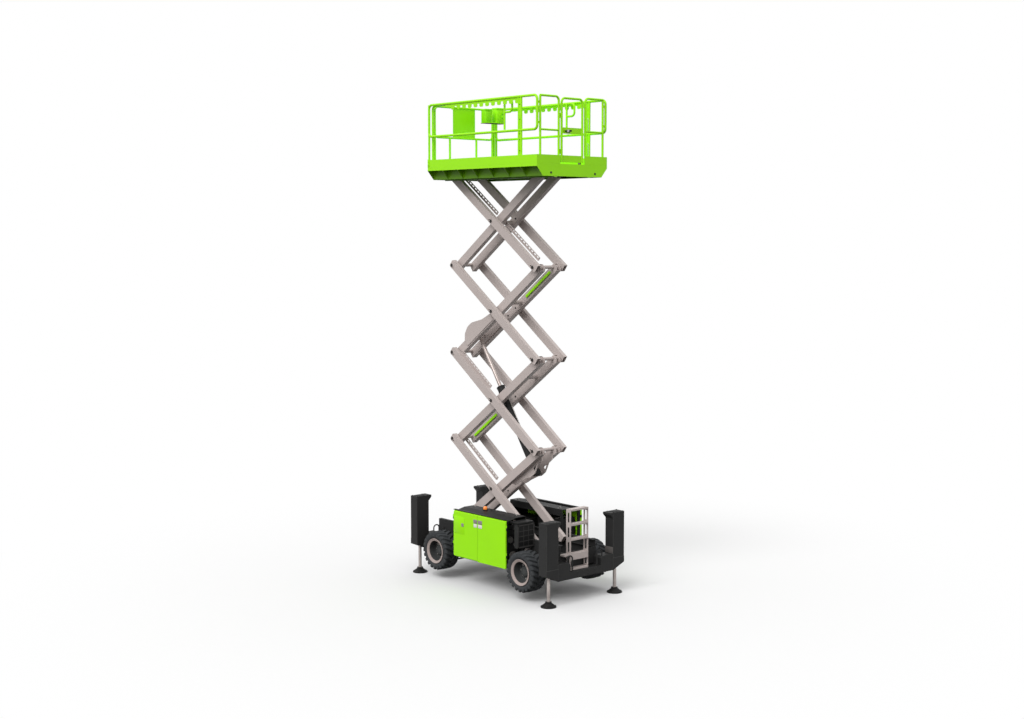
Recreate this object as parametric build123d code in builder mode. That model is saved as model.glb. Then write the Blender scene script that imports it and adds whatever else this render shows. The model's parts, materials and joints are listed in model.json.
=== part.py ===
from build123d import *
import math
import os

# Rough-terrain scissor lift on four outriggers.  Millimetres, +X forward, +Y to the machine's
# left, +Z up, origin on the ground under the middle of the outrigger feet.

# ---------------------------------------------------------------- scissor stack
STAGES = 4
ARM_LENGTH = 2632.0            # pin to pin
REST_ANGLE = 36.17             # slope of the arms as modelled, degrees
BASE_PIN_X = 1297.0            # fixed pins, at the front
BASE_PIN_Z = 886.0
ARM_DEPTH = 145.0
PIN_EDGE = 41.0                # from a pin line to the near edge of its arm
ARM_WALL = 8.0
INNER_WIDTH = 100.0
INNER_FACE_Y = 232.0           # outboard face of the inner arms
OUTER_WIDTH = 70.0
ARM_GAP = 40.0                 # between an inner arm and the outer arm beside it
TOP_INNER_INSET = 6.0          # each side of the top inner tubes, clear of the hump plates
OUTER_END = (95.0, 42.0)       # arm beyond its pins: (bottom end, top end)
INNER_END = (62.0, 62.0)
END_CHAMFER = 26.0
PIN_DIAMETER = 60.0
PIN_CLEARANCE = 0.3            # radial, in a bore
SLEEVE_WALL = 10.0             # of the sleeves and collars round the pins
SIDE_PLAY = 0.5                # between a collar and the arm beside it
CROSS_TUBE_DIAMETER = 76.0
CROSS_TUBE_PLACES = (0.19, 0.80, 0.615, 0.5)  # share of the arm from its front pin, by stage
ROLLER_DIAMETER = 110.0
ROLLER_WIDTH = 36.0
ROLLER_OFFSET = 12.0           # from the outer arm to the roller
SHAFT_DIAMETER = 44.0          # axle stub that carries a roller
BAR_SECTION = 42.0             # green maintenance bars
BAR_LENGTH = 740.0

# ---------------------------------------------------------------- lift cylinder
BARREL_PIN_BACK = 472.0        # along inner arm 1 from its upper pin
BARREL_PIN_DROP = 81.0         # below that arm's lower edge
ROD_PIN_ALONG = 470.0          # along inner arm 3 from its front pin
ROD_PIN_RISE = 1.0             # above that arm's upper edge
BARREL_DIAMETER = 126.0
ROD_SHOWN = 1050.0             # from the gland to the rod's eye, as modelled
ROD_INSIDE = 300.0             # rod that stays in the barrel as modelled
GLAND_DIAMETER = 142.0
GLAND_LENGTH = 150.0
ROD_DIAMETER = 66.0
ROD_PLAY = 0.5
EYE_DIAMETER = 118.0
BARREL_EYE_DIAMETER = 122.0
EYE_WIDTH = 120.0
EYE_PLAY = 0.8                 # between the rod's eye and the pin ends beside it
LUG_PLATE = 20.0
HUMP_PLATE = 12.0
# gusset under inner arm 1, as (along from the barrel pin, drop below the arm, corner radius)
GUSSET = ((-475, 51, 60), (-317, 68, 60), (-122, 106, 60), (-40, 141, 40), (90, 141, 60),
          (260, 51, 60), (380, 44, 0))
GUSSET_ENDS = (-560, 440)      # where the gusset runs into the arm
GUSSET_WINDOW = ((102, 101), (140, 91), (215, 41), (102, 41))
# hump over inner arm 3, as (along from the rod pin, rise above the arm, corner radius)
HUMP = ((-140, 0, 0), (-70, 92, 60), (60, 152, 80), (200, 150, 120), (470, 40, 200), (710, 0, 0))
HUMP_OVERLAP = 125.0           # of the hump plate with the side of the arm

# ---------------------------------------------------------------- wheels and axles
AXLE_X = 1128.0
AXLE_Z = 495.0
TYRE_RADIUS = 345.0
TYRE_WIDTH = 305.0
TYRE_FACE_Y = 895.0            # outer face
# side of a tyre from bead to tread, as (radius above the rim or below the tread, inset)
TYRE_LOWER_WALL = ((0.3, 34), (30, 8))
TYRE_UPPER_WALL = ((55, 0), (23, 12), (0, 40))
RIM_RADIUS = 209.0
RIM_FLANGE = 19.0              # flange beyond the rim's barrel
RIM_WALL = 10.0
DISC_Y = 700.0                 # inboard face of the wheel disc
DISC_WALL = 14.0
HUB_RADIUS = 92.0
HUB_DEPTH = 76.0
KINGPIN_INSET = 60.0           # kingpin inboard of the disc, so the tyre turns nearly on the spot
KINGPIN_DIAMETER = 90.0
KINGPIN_CORE = 44.0
FLANGE_WALL = 16.0
FLANGE_DIAMETER = 190.0
SPINDLE_DIAMETER = 84.0
AXLE_BEAM = 130.0
REAR_BEAM_Y = 560.0
YOKE_WALL = 25.0
YOKE_HALF_HEIGHT = 130.0
YOKE_HALF_LENGTH = 45.0
YOKE_PAST_PIN = 12.0
YOKE_CLEARANCE = 8.0           # from the beam's end to the knuckle
STEER_ARM = 160.0              # behind the kingpin
STEER_ARM_INSET = 90.0         # and this much further in
STEER_ARM_HEIGHT = 22.0
STEER_ARM_WIDTH = 52.0
STEER_ARM_GAP = 6.0            # under the yoke
TIE_ROD_DIAMETER = 28.0
TIE_ROD_END = (50.0, 32.0)     # diameter, height
TIE_ROD_PIN = 20.0

# ---------------------------------------------------------------- chassis
ROLLER_SIDE_PLAY = 10.0        # from a roller to the web of its rail
RAIL_WALL = 12.0
RAIL_BOTTOM = 560.0
ROLLER_RUN = 0.5               # above and below a roller in its track
TRACK_LIP_PLAY = 10.0          # from the outer arm to the track's flanges
BRACKET_PLAY = 6.0             # from the inner arm to the base bracket
BRACKET_WALL = 26.0
BRACKET_FOOT = 150.0           # half length at the floor
BRACKET_HEAD = 55.0            # half length at the pin
CROSSMEMBER_HEIGHT = 110.0
CROSSMEMBER_WIDTH = 70.0
CROSSMEMBER_INSET = 98.0       # end members from the rail ends
MIDDLE_MEMBERS = (-500.0, 300.0)
END_PLATE = 10.0
SEAT = 0.3                     # standing gap where one piece is bolted to the next

# ---------------------------------------------------------------- outriggers
OUTRIGGER_REACH = 227.0        # from the tyre to the leg's centre line
HOUSING_LENGTH = 184.0
HOUSING_Y = (640.0, 905.0)
HOUSING_Z = (575.0, 1370.0)
HOUSING_WALL = 10.0
HOUSING_FLOOR = 20.0
GUIDE_DEPTH = 30.0
CAP_HEIGHT = 34.0
CAP_OVERHANG = 62.0            # towards the machine's middle
CAP_WEDGE = 68.0               # sloping rib under the overhang
LEG_DIAMETER = 58.0
LEG_TOP = 975.0
LEG_PLAY = 1.0
FOOT_DIAMETER = 260.0
FOOT_HEIGHT = 98.0
FOOT_RIM = 20.0
FOOT_SLOPE = ((28, 36), (60, 62), (80, 78))     # (inwards from the rim, height)
BEAM_Z = (418.0, 540.0)        # low middle of the end beam
BEAM_END_TOP = 700.0
BEAM_END_Y = 360.0             # where the beam steps up
BEAM_STEP_BEVEL = 40.0
SHOE_TOP = 628.0               # shoe that closes the beam round each housing's foot
SHOE_RISE = 112.0              # of its underside, from the beam to the machine's side
SHOE_PROUD = 6.0               # beyond the housing's outer face
FOOT_RECESS = (170.0, 490.0)   # diameter and top of the socket that a raised foot's collar enters
EYE_BAR = 22.0                 # tie-down loops
LOOP_WIDTH = 120.0
LOOP_TOP = 800.0
LOOP_BEND = 55.0
LOOP_Y = 345.0
LOOP_SETOUT = 58.0             # outwards from the legs' line

# ---------------------------------------------------------------- side modules
REAR_WHEEL_GAP = 8.0           # from the rear tyre to the module
FRONT_WHEEL_GAP = 173.0        # from the front tyre to the module, for the steered wheel
MODULE_FACE_Y = 895.0
MODULE_Z = (494.0, 1311.0)
DOOR_SEAM_X = -50.0
DOOR_THICKNESS = 25.0
DOOR_GAP = 6.0
DOOR_CORNER = 45.0
DOOR_BEVEL = 18.0
TRAY_WALL = 10.0
TRAY_RAISE = 6.0               # tray above the door's lower edge
TRAY_POST = 40.0
COVER_WALL = 8.0
COVER_PEAK_Z = 1336.0
COVER_EDGE_DROP = 54.0         # from the peak to the outer edge
COVER_INNER_DROP = 114.0       # from the peak to the edge beside the arms
COVER_INNER_RUN = 22.0
COVER_SHOULDER_Y = 640.0
HINGE_DIAMETER = 14.0
HINGE_HEIGHT = 40.0
HINGE_LEAF = 20.0
HINGE_PLATE = 8.0
HINGE_LEVELS = (680.0, 1150.0)
HINGE_CLEARANCE = 1.0          # from the knuckle to the door's edge
HINGE_Y = 880.0
ENGINE_BLOCK = (570.0, 350.0, 620.0)            # length, width, height
ENGINE_HEAD = (300.0, 220.0, 100.0)
ENGINE_SETBACK = 75.0          # from the tray's rear end
FUEL_TANK = (590.0, 340.0, 640.0)
OIL_TANK = (340.0, 540.0)      # width, height; it is as long as the tray leaves room for
TANK_SETBACK = 80.0            # from the tray's ends
TANK_GAP = 165.0               # between the two tanks
RADIATOR = (80.0, 378.0, 394.0)                 # thickness, width, height
RADIATOR_STANDOFF = 115.0      # behind the left tray
RADIATOR_ABOVE_TYRE = 16.0
RADIATOR_FRAME = 24.0
RADIATOR_BACK = 12.0
RADIATOR_SLATS = 7
SLAT_HEIGHT = 10.0
RADIATOR_STAYS = (24.0, 294.0)                  # heights above its lower edge
STAY_SECTION = (30.0, 40.0)

# ---------------------------------------------------------------- ladder
LADDER_GAP = 6.0               # from the frame's end plate
LADDER_Y = (-118.0, 292.0)
LADDER_TOP = 1562.0
STILE_WALL = 10.0
STILE_DEPTH = 108.0
STILE_SLOT = 42.0
STEP_COUNT = 5
STEP_HEIGHT = 30.0
SLOT_MARGIN = 26.0             # from a step to the slot above or below it
WIDE_STEP = 1                  # this step, counted from the lowest, reaches out past its plate
WIDE_STEP_EXTRA = 135.0
WIDE_STEP_LIP = (8.0, 78.0)    # thickness, depth below the step
LADDER_STAY = (40.0, 40.0)     # width, height
LADDER_STAY_DROP = 50.0        # below the roller track

# ---------------------------------------------------------------- platform
DECK_X = (-1438.0, 1390.0)
DECK_HALF_WIDTH = 800.0
FLOOR_TOP_RISE = 150.0         # floor above the top pins
FLOOR_PLATE = 12.0
DECK_WALL = 8.0
FASCIA_DROP = 52.0             # end fascia below the top pins
FASCIA_CHAMFER = 133.0         # inwards at its lower corners
TOE_BOTTOM_RISE = 102.0        # toe boards' lower edge above the top pins
TOE_HEIGHT = 190.0
TOE_THICKNESS = 20.0
GUSSET_COUNT = 6               # under each side of the floor
DECK_CROSSMEMBERS = 4
DECK_CROSSMEMBER = 40.0
RAIL_TUBE = 42.0
POST_TUBE = 38.0
BRACE_TUBE = 38.0
LINK = (12.0, 40.0)             # plates that join rail panels: thickness, height
LINK_MARGIN = 110.0            # from the rails above and below
TOP_RAIL_RISE = 1240.0         # centre of the top rail above the top pins
MID_RAIL_RISE = 695.0
RAIL_BEND = 70.0
REAR_BAY = 403.0               # from the deck's rear edge to the first post
CORNER_POST_INSET = 66.0       # rear corner posts inboard of the side rails
STRIP_SETBACKS = (458.0, 460.0)  # notched strips, from the deck's rear and front edges
STRIP_HEIGHT = 98.0
STRIP_WALL = 6.0
STRIP_TOOTH = 94.0
STRIP_PITCH = 150.0
STRIP_NOTCH = 54.0
STRIP_CORNER = 20.0            # slope at a tooth's lower corners
GATE_HALF_WIDTH = 256.0
GATE_GAP = 24.0                # from the gate to the post beside it
GATE_HINGE_DIAMETER = 18.0
GATE_HINGE_PLATE = 10.0
GATE_HINGE_RISES = (60.0, 240.0)                # above the toe board and above the mid rail
GATE_DROP = 20.0               # its top below the top rail
GATE_SHEET = 6.0
GATE_SHEET_HALF = 50.0
GATE_FOOT = 30.0               # above the floor
EXTENSION_LENGTH = 1990.0
EXTENSION_SIDE_GAP = 50.0      # beside the toe boards
EXTENSION_PLATE = 16.0
EXTENSION_LIFT = 6.0           # above the floor
SKID = (120.0, 40.0, 120.0)    # length, width, inset from the deck's rear edge
FRONT_SKID_SETBACK = 300.0
SLIDE_GAP = 6.0                # from the front toe board to those beside it
EXTENSION_TUBE = 36.0
EXTENSION_POST = 38.0
EXTENSION_RAIL_DROP = 12.0     # below the main top rail
FRONT_LOOP_INSET = 65.0        # from the sliding deck's side
FRONT_POST_YS = (326.0, -287.0)
FRONT_SHEET_HALF = 255.0
SHEET_WALL = 6.0
HANDLE_DROP = 500.0            # hanging post at the rear of an extension rail
HANDLE_RUN = 190.0             # of the hand loop behind that post
HANDLE_DEPTH = 215.0
CONTROL_SHELF = (200.0, 580.0, 20.0)            # length, width, thickness
CONTROL_DROP = 250.0           # shelf below the extension's top rail
CONTROL_BOX = (190.0, 260.0, 265.0)
MANUAL_BOX = (150.0, 210.0, 235.0)
CONTROL_SETBACK = 316.0        # shelf behind the front loop

# ---------------------------------------------------------------- derived places
rest = math.radians(REST_ANGLE)
stage_rise = ARM_LENGTH * math.sin(rest)
slide_pin_x = BASE_PIN_X - ARM_LENGTH * math.cos(rest)
top_pin_z = BASE_PIN_Z + STAGES * stage_rise
outer_face_y = INNER_FACE_Y + ARM_GAP + OUTER_WIDTH
roller_face_y = outer_face_y + ROLLER_OFFSET + ROLLER_WIDTH
rail_web_y = roller_face_y + ROLLER_SIDE_PLAY
track_lip_y = outer_face_y + TRACK_LIP_PLAY
sleeve_diameter = PIN_DIAMETER + 2 * SLEEVE_WALL
bore = PIN_DIAMETER + 2 * PIN_CLEARANCE
track_bottom = BASE_PIN_Z - ROLLER_DIAMETER / 2 - ROLLER_RUN
track_top = BASE_PIN_Z + ROLLER_DIAMETER / 2 + ROLLER_RUN
outrigger_x = AXLE_X + TYRE_RADIUS + OUTRIGGER_REACH
kingpin_y = DISC_Y - KINGPIN_INSET
module_x = (-(AXLE_X - TYRE_RADIUS - REAR_WHEEL_GAP), AXLE_X - TYRE_RADIUS - FRONT_WHEEL_GAP)
SIDES = (1, -1)
CUT = 1.0                      # how far a cut runs past a face, and a joint into its neighbour

os.makedirs("parts", exist_ok=True)


def save(builder, label):
    """Label a finished piece and write it as one STEP file."""
    builder.part.label = label
    export_step(builder.part, f"parts/{label}.step")


def block(x_span, y_span, z_span, mode=Mode.ADD):
    """An upright box between two corners, given as three spans in any order."""
    spans = [sorted(span) for span in (x_span, y_span, z_span)]
    with Locations(tuple((low + high) / 2 for low, high in spans)):
        Box(*[high - low for low, high in spans], mode=mode)


def round_bar(start, end, diameter, mode=Mode.ADD):
    """A straight round bar from one point to another."""
    axis = Vector(*end) - Vector(*start)
    with BuildSketch(Plane(origin=start, z_dir=axis)) as section:
        Circle(diameter / 2)
    extrude(section.sketch, amount=axis.length, mode=mode)


def bent_bar(points, bend_radius, diameter, close=False):
    """A round bar along straight runs with equal bends between them."""
    with BuildLine() as path:
        FilletPolyline(*points, radius=bend_radius, close=close)
    start_plane = Plane(origin=path.line @ 0, z_dir=path.line % 0)
    with BuildSketch(start_plane) as section:
        Circle(diameter / 2)
    sweep(section.sketch, path=path.line)


def flat_plate(plane, points, thickness, radii=0, mode=Mode.ADD):
    """A plate with an outline drawn on a plane, standing on that plane."""
    with BuildSketch(plane) as outline:
        with BuildLine():
            FilletPolyline(*points, radius=radii, close=True)
        make_face()
    extrude(outline.sketch, amount=thickness, mode=mode)


def plate_xz(points, y_span, mode=Mode.ADD):
    """A plate with a side-view outline in X and Z, between two Y values."""
    low, high = sorted(y_span)
    side_view = Plane(origin=(0, high, 0), x_dir=(1, 0, 0), z_dir=(0, -1, 0))
    flat_plate(side_view, points, high - low, mode=mode)


def plate_yz(points, x_span, mode=Mode.ADD):
    """A plate with an end-view outline in Y and Z, between two X values."""
    low, high = sorted(x_span)
    end_view = Plane(origin=(low, 0, 0), x_dir=(0, 1, 0), z_dir=(1, 0, 0))
    flat_plate(end_view, points, high - low, mode=mode)


def both(side, span):
    """A span mirrored to one side of the machine."""
    return (side * span[0], side * span[1])


# ================================================================ scissor arms
# Both families share one side view.  Its local x runs along the arm from the lower pin to the
# upper one; local y points to the edge that lies PIN_EDGE from the pins.
near_edge = PIN_EDGE
far_edge = PIN_EDGE - ARM_DEPTH
arm_centre = PIN_EDGE - ARM_DEPTH / 2
middle = ARM_LENGTH / 2


def arm_plane(family, stage, y):
    """Plane at the lower pin of an arm, square to the machine's side."""
    level = BASE_PIN_Z + (stage - 1) * stage_rise
    if family == "inner":
        return Plane(origin=(BASE_PIN_X, y, level),
                     x_dir=(-math.cos(rest), 0, math.sin(rest)), z_dir=(0, 1, 0))
    return Plane(origin=(slide_pin_x, y, level),
                 x_dir=(math.cos(rest), 0, math.sin(rest)), z_dir=(0, 1, 0))


def arm_disc(family, stage, along, square, y_span, diameter, mode=Mode.ADD):
    """A round boss, pin or bore across an arm at a place given in the arm's own directions."""
    low, high = sorted(y_span)
    with BuildSketch(arm_plane(family, stage, low)) as circle:
        with Locations((along, square)):
            Circle(diameter / 2)
    extrude(circle.sketch, amount=high - low, mode=mode)


def arm_plate(family, stage, points, y_span, radii=0, mode=Mode.ADD):
    """A flat plate in an arm's own directions."""
    low, high = sorted(y_span)
    flat_plate(arm_plane(family, stage, low), points, high - low, radii, mode)


def arm_tube(family, stage, y_span, ends):
    """One open-ended rectangular tube with chamfered corners past its pins."""
    low, high = sorted(y_span)
    start = -ends[0]
    stop = ARM_LENGTH + ends[1]
    cut = END_CHAMFER
    outline = [(start, far_edge), (stop - cut, far_edge), (stop, far_edge + cut), (stop, near_edge - cut),
               (stop - cut, near_edge), (start + cut, near_edge), (start, near_edge - cut)]
    arm_plate(family, stage, outline, (low, high))
    hollow = [(start - CUT, far_edge + ARM_WALL), (stop + CUT, far_edge + ARM_WALL),
              (stop + CUT, near_edge - ARM_WALL), (start - CUT, near_edge - ARM_WALL)]
    arm_plate(family, stage, hollow, (low + ARM_WALL, high - ARM_WALL), mode=Mode.SUBTRACT)


def inner_inset(stage):
    """How much narrower an inner tube is on each side than the lower ones."""
    return TOP_INNER_INSET if stage == STAGES else 0.0


def inner_span(stage):
    """Inboard and outboard faces of the left inner tube of a stage."""
    inset = inner_inset(stage)
    return (INNER_FACE_Y - INNER_WIDTH + inset, INNER_FACE_Y - inset)


barrel_pin = (ARM_LENGTH - BARREL_PIN_BACK, far_edge - BARREL_PIN_DROP)
rod_pin = (ROD_PIN_ALONG, near_edge + ROD_PIN_RISE)
gusset_points = ([(barrel_pin[0] + GUSSET_ENDS[0], arm_centre)]
                 + [(barrel_pin[0] + along, far_edge - drop) for along, drop, radius in GUSSET]
                 + [(barrel_pin[0] + GUSSET_ENDS[1], arm_centre)])
gusset_radii = [0] + [radius for along, drop, radius in GUSSET] + [0]
window_points = [(barrel_pin[0] + along, far_edge - drop) for along, drop in GUSSET_WINDOW]
hump_points = [(rod_pin[0] + along, near_edge + rise) for along, rise, radius in HUMP]
hump_points = ([(hump_points[0][0], near_edge - HUMP_OVERLAP)] + hump_points
               + [(hump_points[-1][0], near_edge - HUMP_OVERLAP)])
hump_radii = [0] + [radius for along, rise, radius in HUMP] + [0]
BARREL_STAGE = 1
ROD_STAGE = 3

for stage in range(1, STAGES + 1):
    back, face = inner_span(stage)
    with BuildPart() as inner_arm:
        for side in SIDES:
            arm_tube("inner", stage, both(side, (back, face)), INNER_END)
            for along in (0.0, middle, ARM_LENGTH):
                arm_disc("inner", stage, along, 0, both(side, (back, face)), sleeve_diameter)
        cross_along = CROSS_TUBE_PLACES[stage - 1] * ARM_LENGTH
        arm_disc("inner", stage, cross_along, arm_centre, (-back - CUT, back + CUT), CROSS_TUBE_DIAMETER)
        if stage == BARREL_STAGE:
            # deep gusset under the rear end that carries the foot of the lift cylinder
            for side in SIDES:
                plates = both(side, (back - LUG_PLATE, back + CUT))
                arm_plate("inner", stage, gusset_points, plates, gusset_radii)
                arm_plate("inner", stage, window_points, plates, mode=Mode.SUBTRACT)
            arm_disc("inner", stage, *barrel_pin, (-back - CUT, back + CUT), PIN_DIAMETER)
        if stage == ROD_STAGE:
            # hump plates on both faces of each half hold the pin ends beside the rod's eye
            for side in SIDES:
                arm_plate("inner", stage, hump_points, both(side, (face, face + HUMP_PLATE)), hump_radii)
                arm_plate("inner", stage, hump_points, both(side, (back, back - HUMP_PLATE)), hump_radii)
            for side in SIDES:
                stub = both(side, (EYE_WIDTH / 2 + EYE_PLAY, face + HUMP_PLATE))
                arm_disc("inner", stage, *rod_pin, stub, PIN_DIAMETER)
        for side in SIDES:
            for along in (0.0, middle, ARM_LENGTH):
                arm_disc("inner", stage, along, 0, both(side, (back - CUT, face + CUT)), bore,
                         mode=Mode.SUBTRACT)
        if stage > 1:
            # the shaft through the front ends is fast in these arms
            for side in SIDES:
                arm_disc("inner", stage, 0, 0, both(side, (back, face)), bore + CUT)
            arm_disc("inner", stage, 0, 0, (-outer_face_y, outer_face_y), PIN_DIAMETER)
        if stage == STAGES:
            arm_disc("inner", stage, ARM_LENGTH, 0, (-face, face), bore + CUT)
            arm_disc("inner", stage, ARM_LENGTH, 0, (-roller_face_y, roller_face_y), SHAFT_DIAMETER)
    save(inner_arm, f"inner_arms_{stage}")

for stage in range(1, STAGES + 1):
    face = outer_face_y
    back = face - OUTER_WIDTH
    with BuildPart() as outer_arm:
        for side in SIDES:
            arm_tube("outer", stage, both(side, (back, face)), OUTER_END)
            # pin places: (distance along the arm, stage of the inner arm beside it)
            for along, neighbour in ((0.0, stage - 1), (middle, stage), (ARM_LENGTH, stage + 1)):
                arm_disc("outer", stage, along, 0, both(side, (back, face)), sleeve_diameter)
                if 1 <= neighbour <= STAGES:
                    collar = (inner_span(neighbour)[1] + SIDE_PLAY, face)
                    arm_disc("outer", stage, along, 0, both(side, collar), sleeve_diameter)
            bore_span = (inner_span(STAGES)[1], face + CUT)
            arm_disc("outer", stage, ARM_LENGTH, 0, both(side, bore_span), bore, mode=Mode.SUBTRACT)
            stub = (inner_span(stage)[0] + 2 * CUT, face)
            arm_disc("outer", stage, middle, 0, both(side, stub), PIN_DIAMETER)
        if stage == 1:
            arm_disc("outer", stage, 0, 0, (-roller_face_y, roller_face_y), SHAFT_DIAMETER)
        else:
            arm_disc("outer", stage, 0, 0, (-face, face), PIN_DIAMETER)
    save(outer_arm, f"outer_arms_{stage}")

# rollers: (name, family, stage, distance along the arm)
ROLLERS = (("base_rollers", "outer", 1, 0.0), ("platform_rollers", "inner", STAGES, ARM_LENGTH))
for name, family, stage, along in ROLLERS:
    inboard = roller_face_y - ROLLER_WIDTH
    with BuildPart() as rollers:
        for side in SIDES:
            arm_disc(family, stage, along, 0, both(side, (inboard, roller_face_y)), ROLLER_DIAMETER)
            arm_disc(family, stage, along, 0, both(side, (inboard - CUT, roller_face_y + CUT)),
                     SHAFT_DIAMETER + 2 * PIN_CLEARANCE, mode=Mode.SUBTRACT)
    save(rollers, name)

# maintenance bars, each lying against the far inner arm: (name, stage, share of the arm at its start)
SAFETY_BARS = (("safety_bar_lower", 2, 0.03), ("safety_bar_upper", 3, 0.68))
for name, stage, share in SAFETY_BARS:
    bar_y = -inner_span(stage)[0] + SEAT
    start = share * ARM_LENGTH
    low_edge = arm_centre - BAR_SECTION / 2
    high_edge = arm_centre + BAR_SECTION / 2
    with BuildPart() as bar:
        outline = [(start, low_edge), (start + BAR_LENGTH, low_edge),
                   (start + BAR_LENGTH, high_edge), (start, high_edge)]
        arm_plate("inner", stage, outline, (bar_y, bar_y + BAR_SECTION / 2))
    save(bar, name)

# ================================================================ lift cylinder
barrel_foot = arm_plane("inner", BARREL_STAGE, 0).from_local_coords((*barrel_pin, 0))
rod_eye = arm_plane("inner", ROD_STAGE, 0).from_local_coords((*rod_pin, 0))
cylinder_axis = (rod_eye - barrel_foot).normalized()
gland_top = rod_eye - cylinder_axis * ROD_SHOWN


def eye(centre, diameter, width, mode=Mode.ADD):
    """A round bar across the machine at a cylinder end."""
    round_bar((centre.X, -width / 2, centre.Z), (centre.X, width / 2, centre.Z), diameter, mode)


with BuildPart() as lift_barrel:
    gland_foot = gland_top - cylinder_axis * GLAND_LENGTH
    inside_foot = barrel_foot + cylinder_axis * (EYE_DIAMETER / 2 + ARM_WALL)
    round_bar(tuple(barrel_foot), tuple(gland_top), BARREL_DIAMETER)
    round_bar(tuple(gland_foot), tuple(gland_top), GLAND_DIAMETER)
    eye(barrel_foot, BARREL_EYE_DIAMETER, EYE_WIDTH)
    round_bar(tuple(inside_foot), tuple(gland_top + cylinder_axis * CUT),
              ROD_DIAMETER + 2 * ROD_PLAY, mode=Mode.SUBTRACT)
    eye(barrel_foot, bore, BARREL_DIAMETER + 2 * CUT, mode=Mode.SUBTRACT)
save(lift_barrel, "lift_barrel")

with BuildPart() as lift_rod:
    rod_foot = gland_top - cylinder_axis * ROD_INSIDE
    round_bar(tuple(rod_foot), tuple(rod_eye), ROD_DIAMETER)
    eye(rod_eye, EYE_DIAMETER, EYE_WIDTH)
save(lift_rod, "lift_rod")

# ================================================================ chassis
rail_top = track_top + RAIL_WALL
rail_floor = RAIL_BOTTOM + RAIL_WALL
housing_inner_x = outrigger_x - HOUSING_LENGTH / 2
housing_outer_x = outrigger_x + HOUSING_LENGTH / 2
rail_half_length = housing_inner_x - SEAT - END_PLATE
end_member_x = rail_half_length - CROSSMEMBER_INSET
bracket_y = INNER_FACE_Y + BRACKET_PLAY
between_rails = (-rail_web_y - CUT, rail_web_y + CUT)

with BuildPart() as main_frame:
    rail_x = (-rail_half_length, rail_half_length)
    for side in SIDES:
        web = both(side, (rail_web_y, rail_web_y + RAIL_WALL))
        lip = both(side, (track_lip_y, rail_web_y + CUT))
        block(rail_x, web, (RAIL_BOTTOM, rail_top))
        block(rail_x, lip, (track_bottom - RAIL_WALL, track_bottom))
        block(rail_x, lip, (track_top, rail_top))
    block(rail_x, between_rails, (RAIL_BOTTOM, rail_floor))
    for x in (-end_member_x, -AXLE_X, *MIDDLE_MEMBERS, AXLE_X, end_member_x):
        block((x - CROSSMEMBER_WIDTH / 2, x + CROSSMEMBER_WIDTH / 2), between_rails,
              (rail_floor - CUT, rail_floor + CROSSMEMBER_HEIGHT))
    for end in SIDES:
        block(both(end, (rail_half_length - CUT, rail_half_length + END_PLATE)),
              (-rail_web_y - RAIL_WALL, rail_web_y + RAIL_WALL), (RAIL_BOTTOM, track_bottom))
    pin_top = BASE_PIN_Z + sleeve_diameter / 2 + SLEEVE_WALL
    for side in SIDES:
        outline = [(BASE_PIN_X - BRACKET_FOOT, rail_floor - CUT),
                   (BASE_PIN_X + BRACKET_FOOT, rail_floor - CUT),
                   (BASE_PIN_X + BRACKET_HEAD, pin_top), (BASE_PIN_X - BRACKET_HEAD, pin_top)]
        plate_xz(outline, both(side, (bracket_y, bracket_y + BRACKET_WALL)))
    pin_reach = bracket_y + BRACKET_WALL
    round_bar((BASE_PIN_X, -pin_reach, BASE_PIN_Z), (BASE_PIN_X, pin_reach, BASE_PIN_Z), PIN_DIAMETER)
save(main_frame, "main_frame")

leg_line_y = sum(HOUSING_Y) / 2
beam_half = HOUSING_Y[0]
step_low = BEAM_END_TOP - BEAM_STEP_BEVEL
shoe_side = (HOUSING_Y[1], BEAM_Z[0] + SHOE_RISE)
# right half of the beam's end view, from its lower corner round to the middle
step_points = [(beam_half, BEAM_Z[0]), shoe_side, (HOUSING_Y[1], HOUSING_Z[0]),
               (beam_half, HOUSING_Z[0]), (beam_half, BEAM_END_TOP),
               (BEAM_END_Y + BEAM_STEP_BEVEL, BEAM_END_TOP), (BEAM_END_Y, step_low),
               (BEAM_END_Y, BEAM_Z[1])]
shoe_profile = [(beam_half - SHOE_PROUD, BEAM_Z[0]), (beam_half, BEAM_Z[0]), shoe_side,
                (HOUSING_Y[1], SHOE_TOP), (beam_half - SHOE_PROUD, SHOE_TOP)]
beam_profile = step_points + [(-y, z) for y, z in reversed(step_points)]
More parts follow.
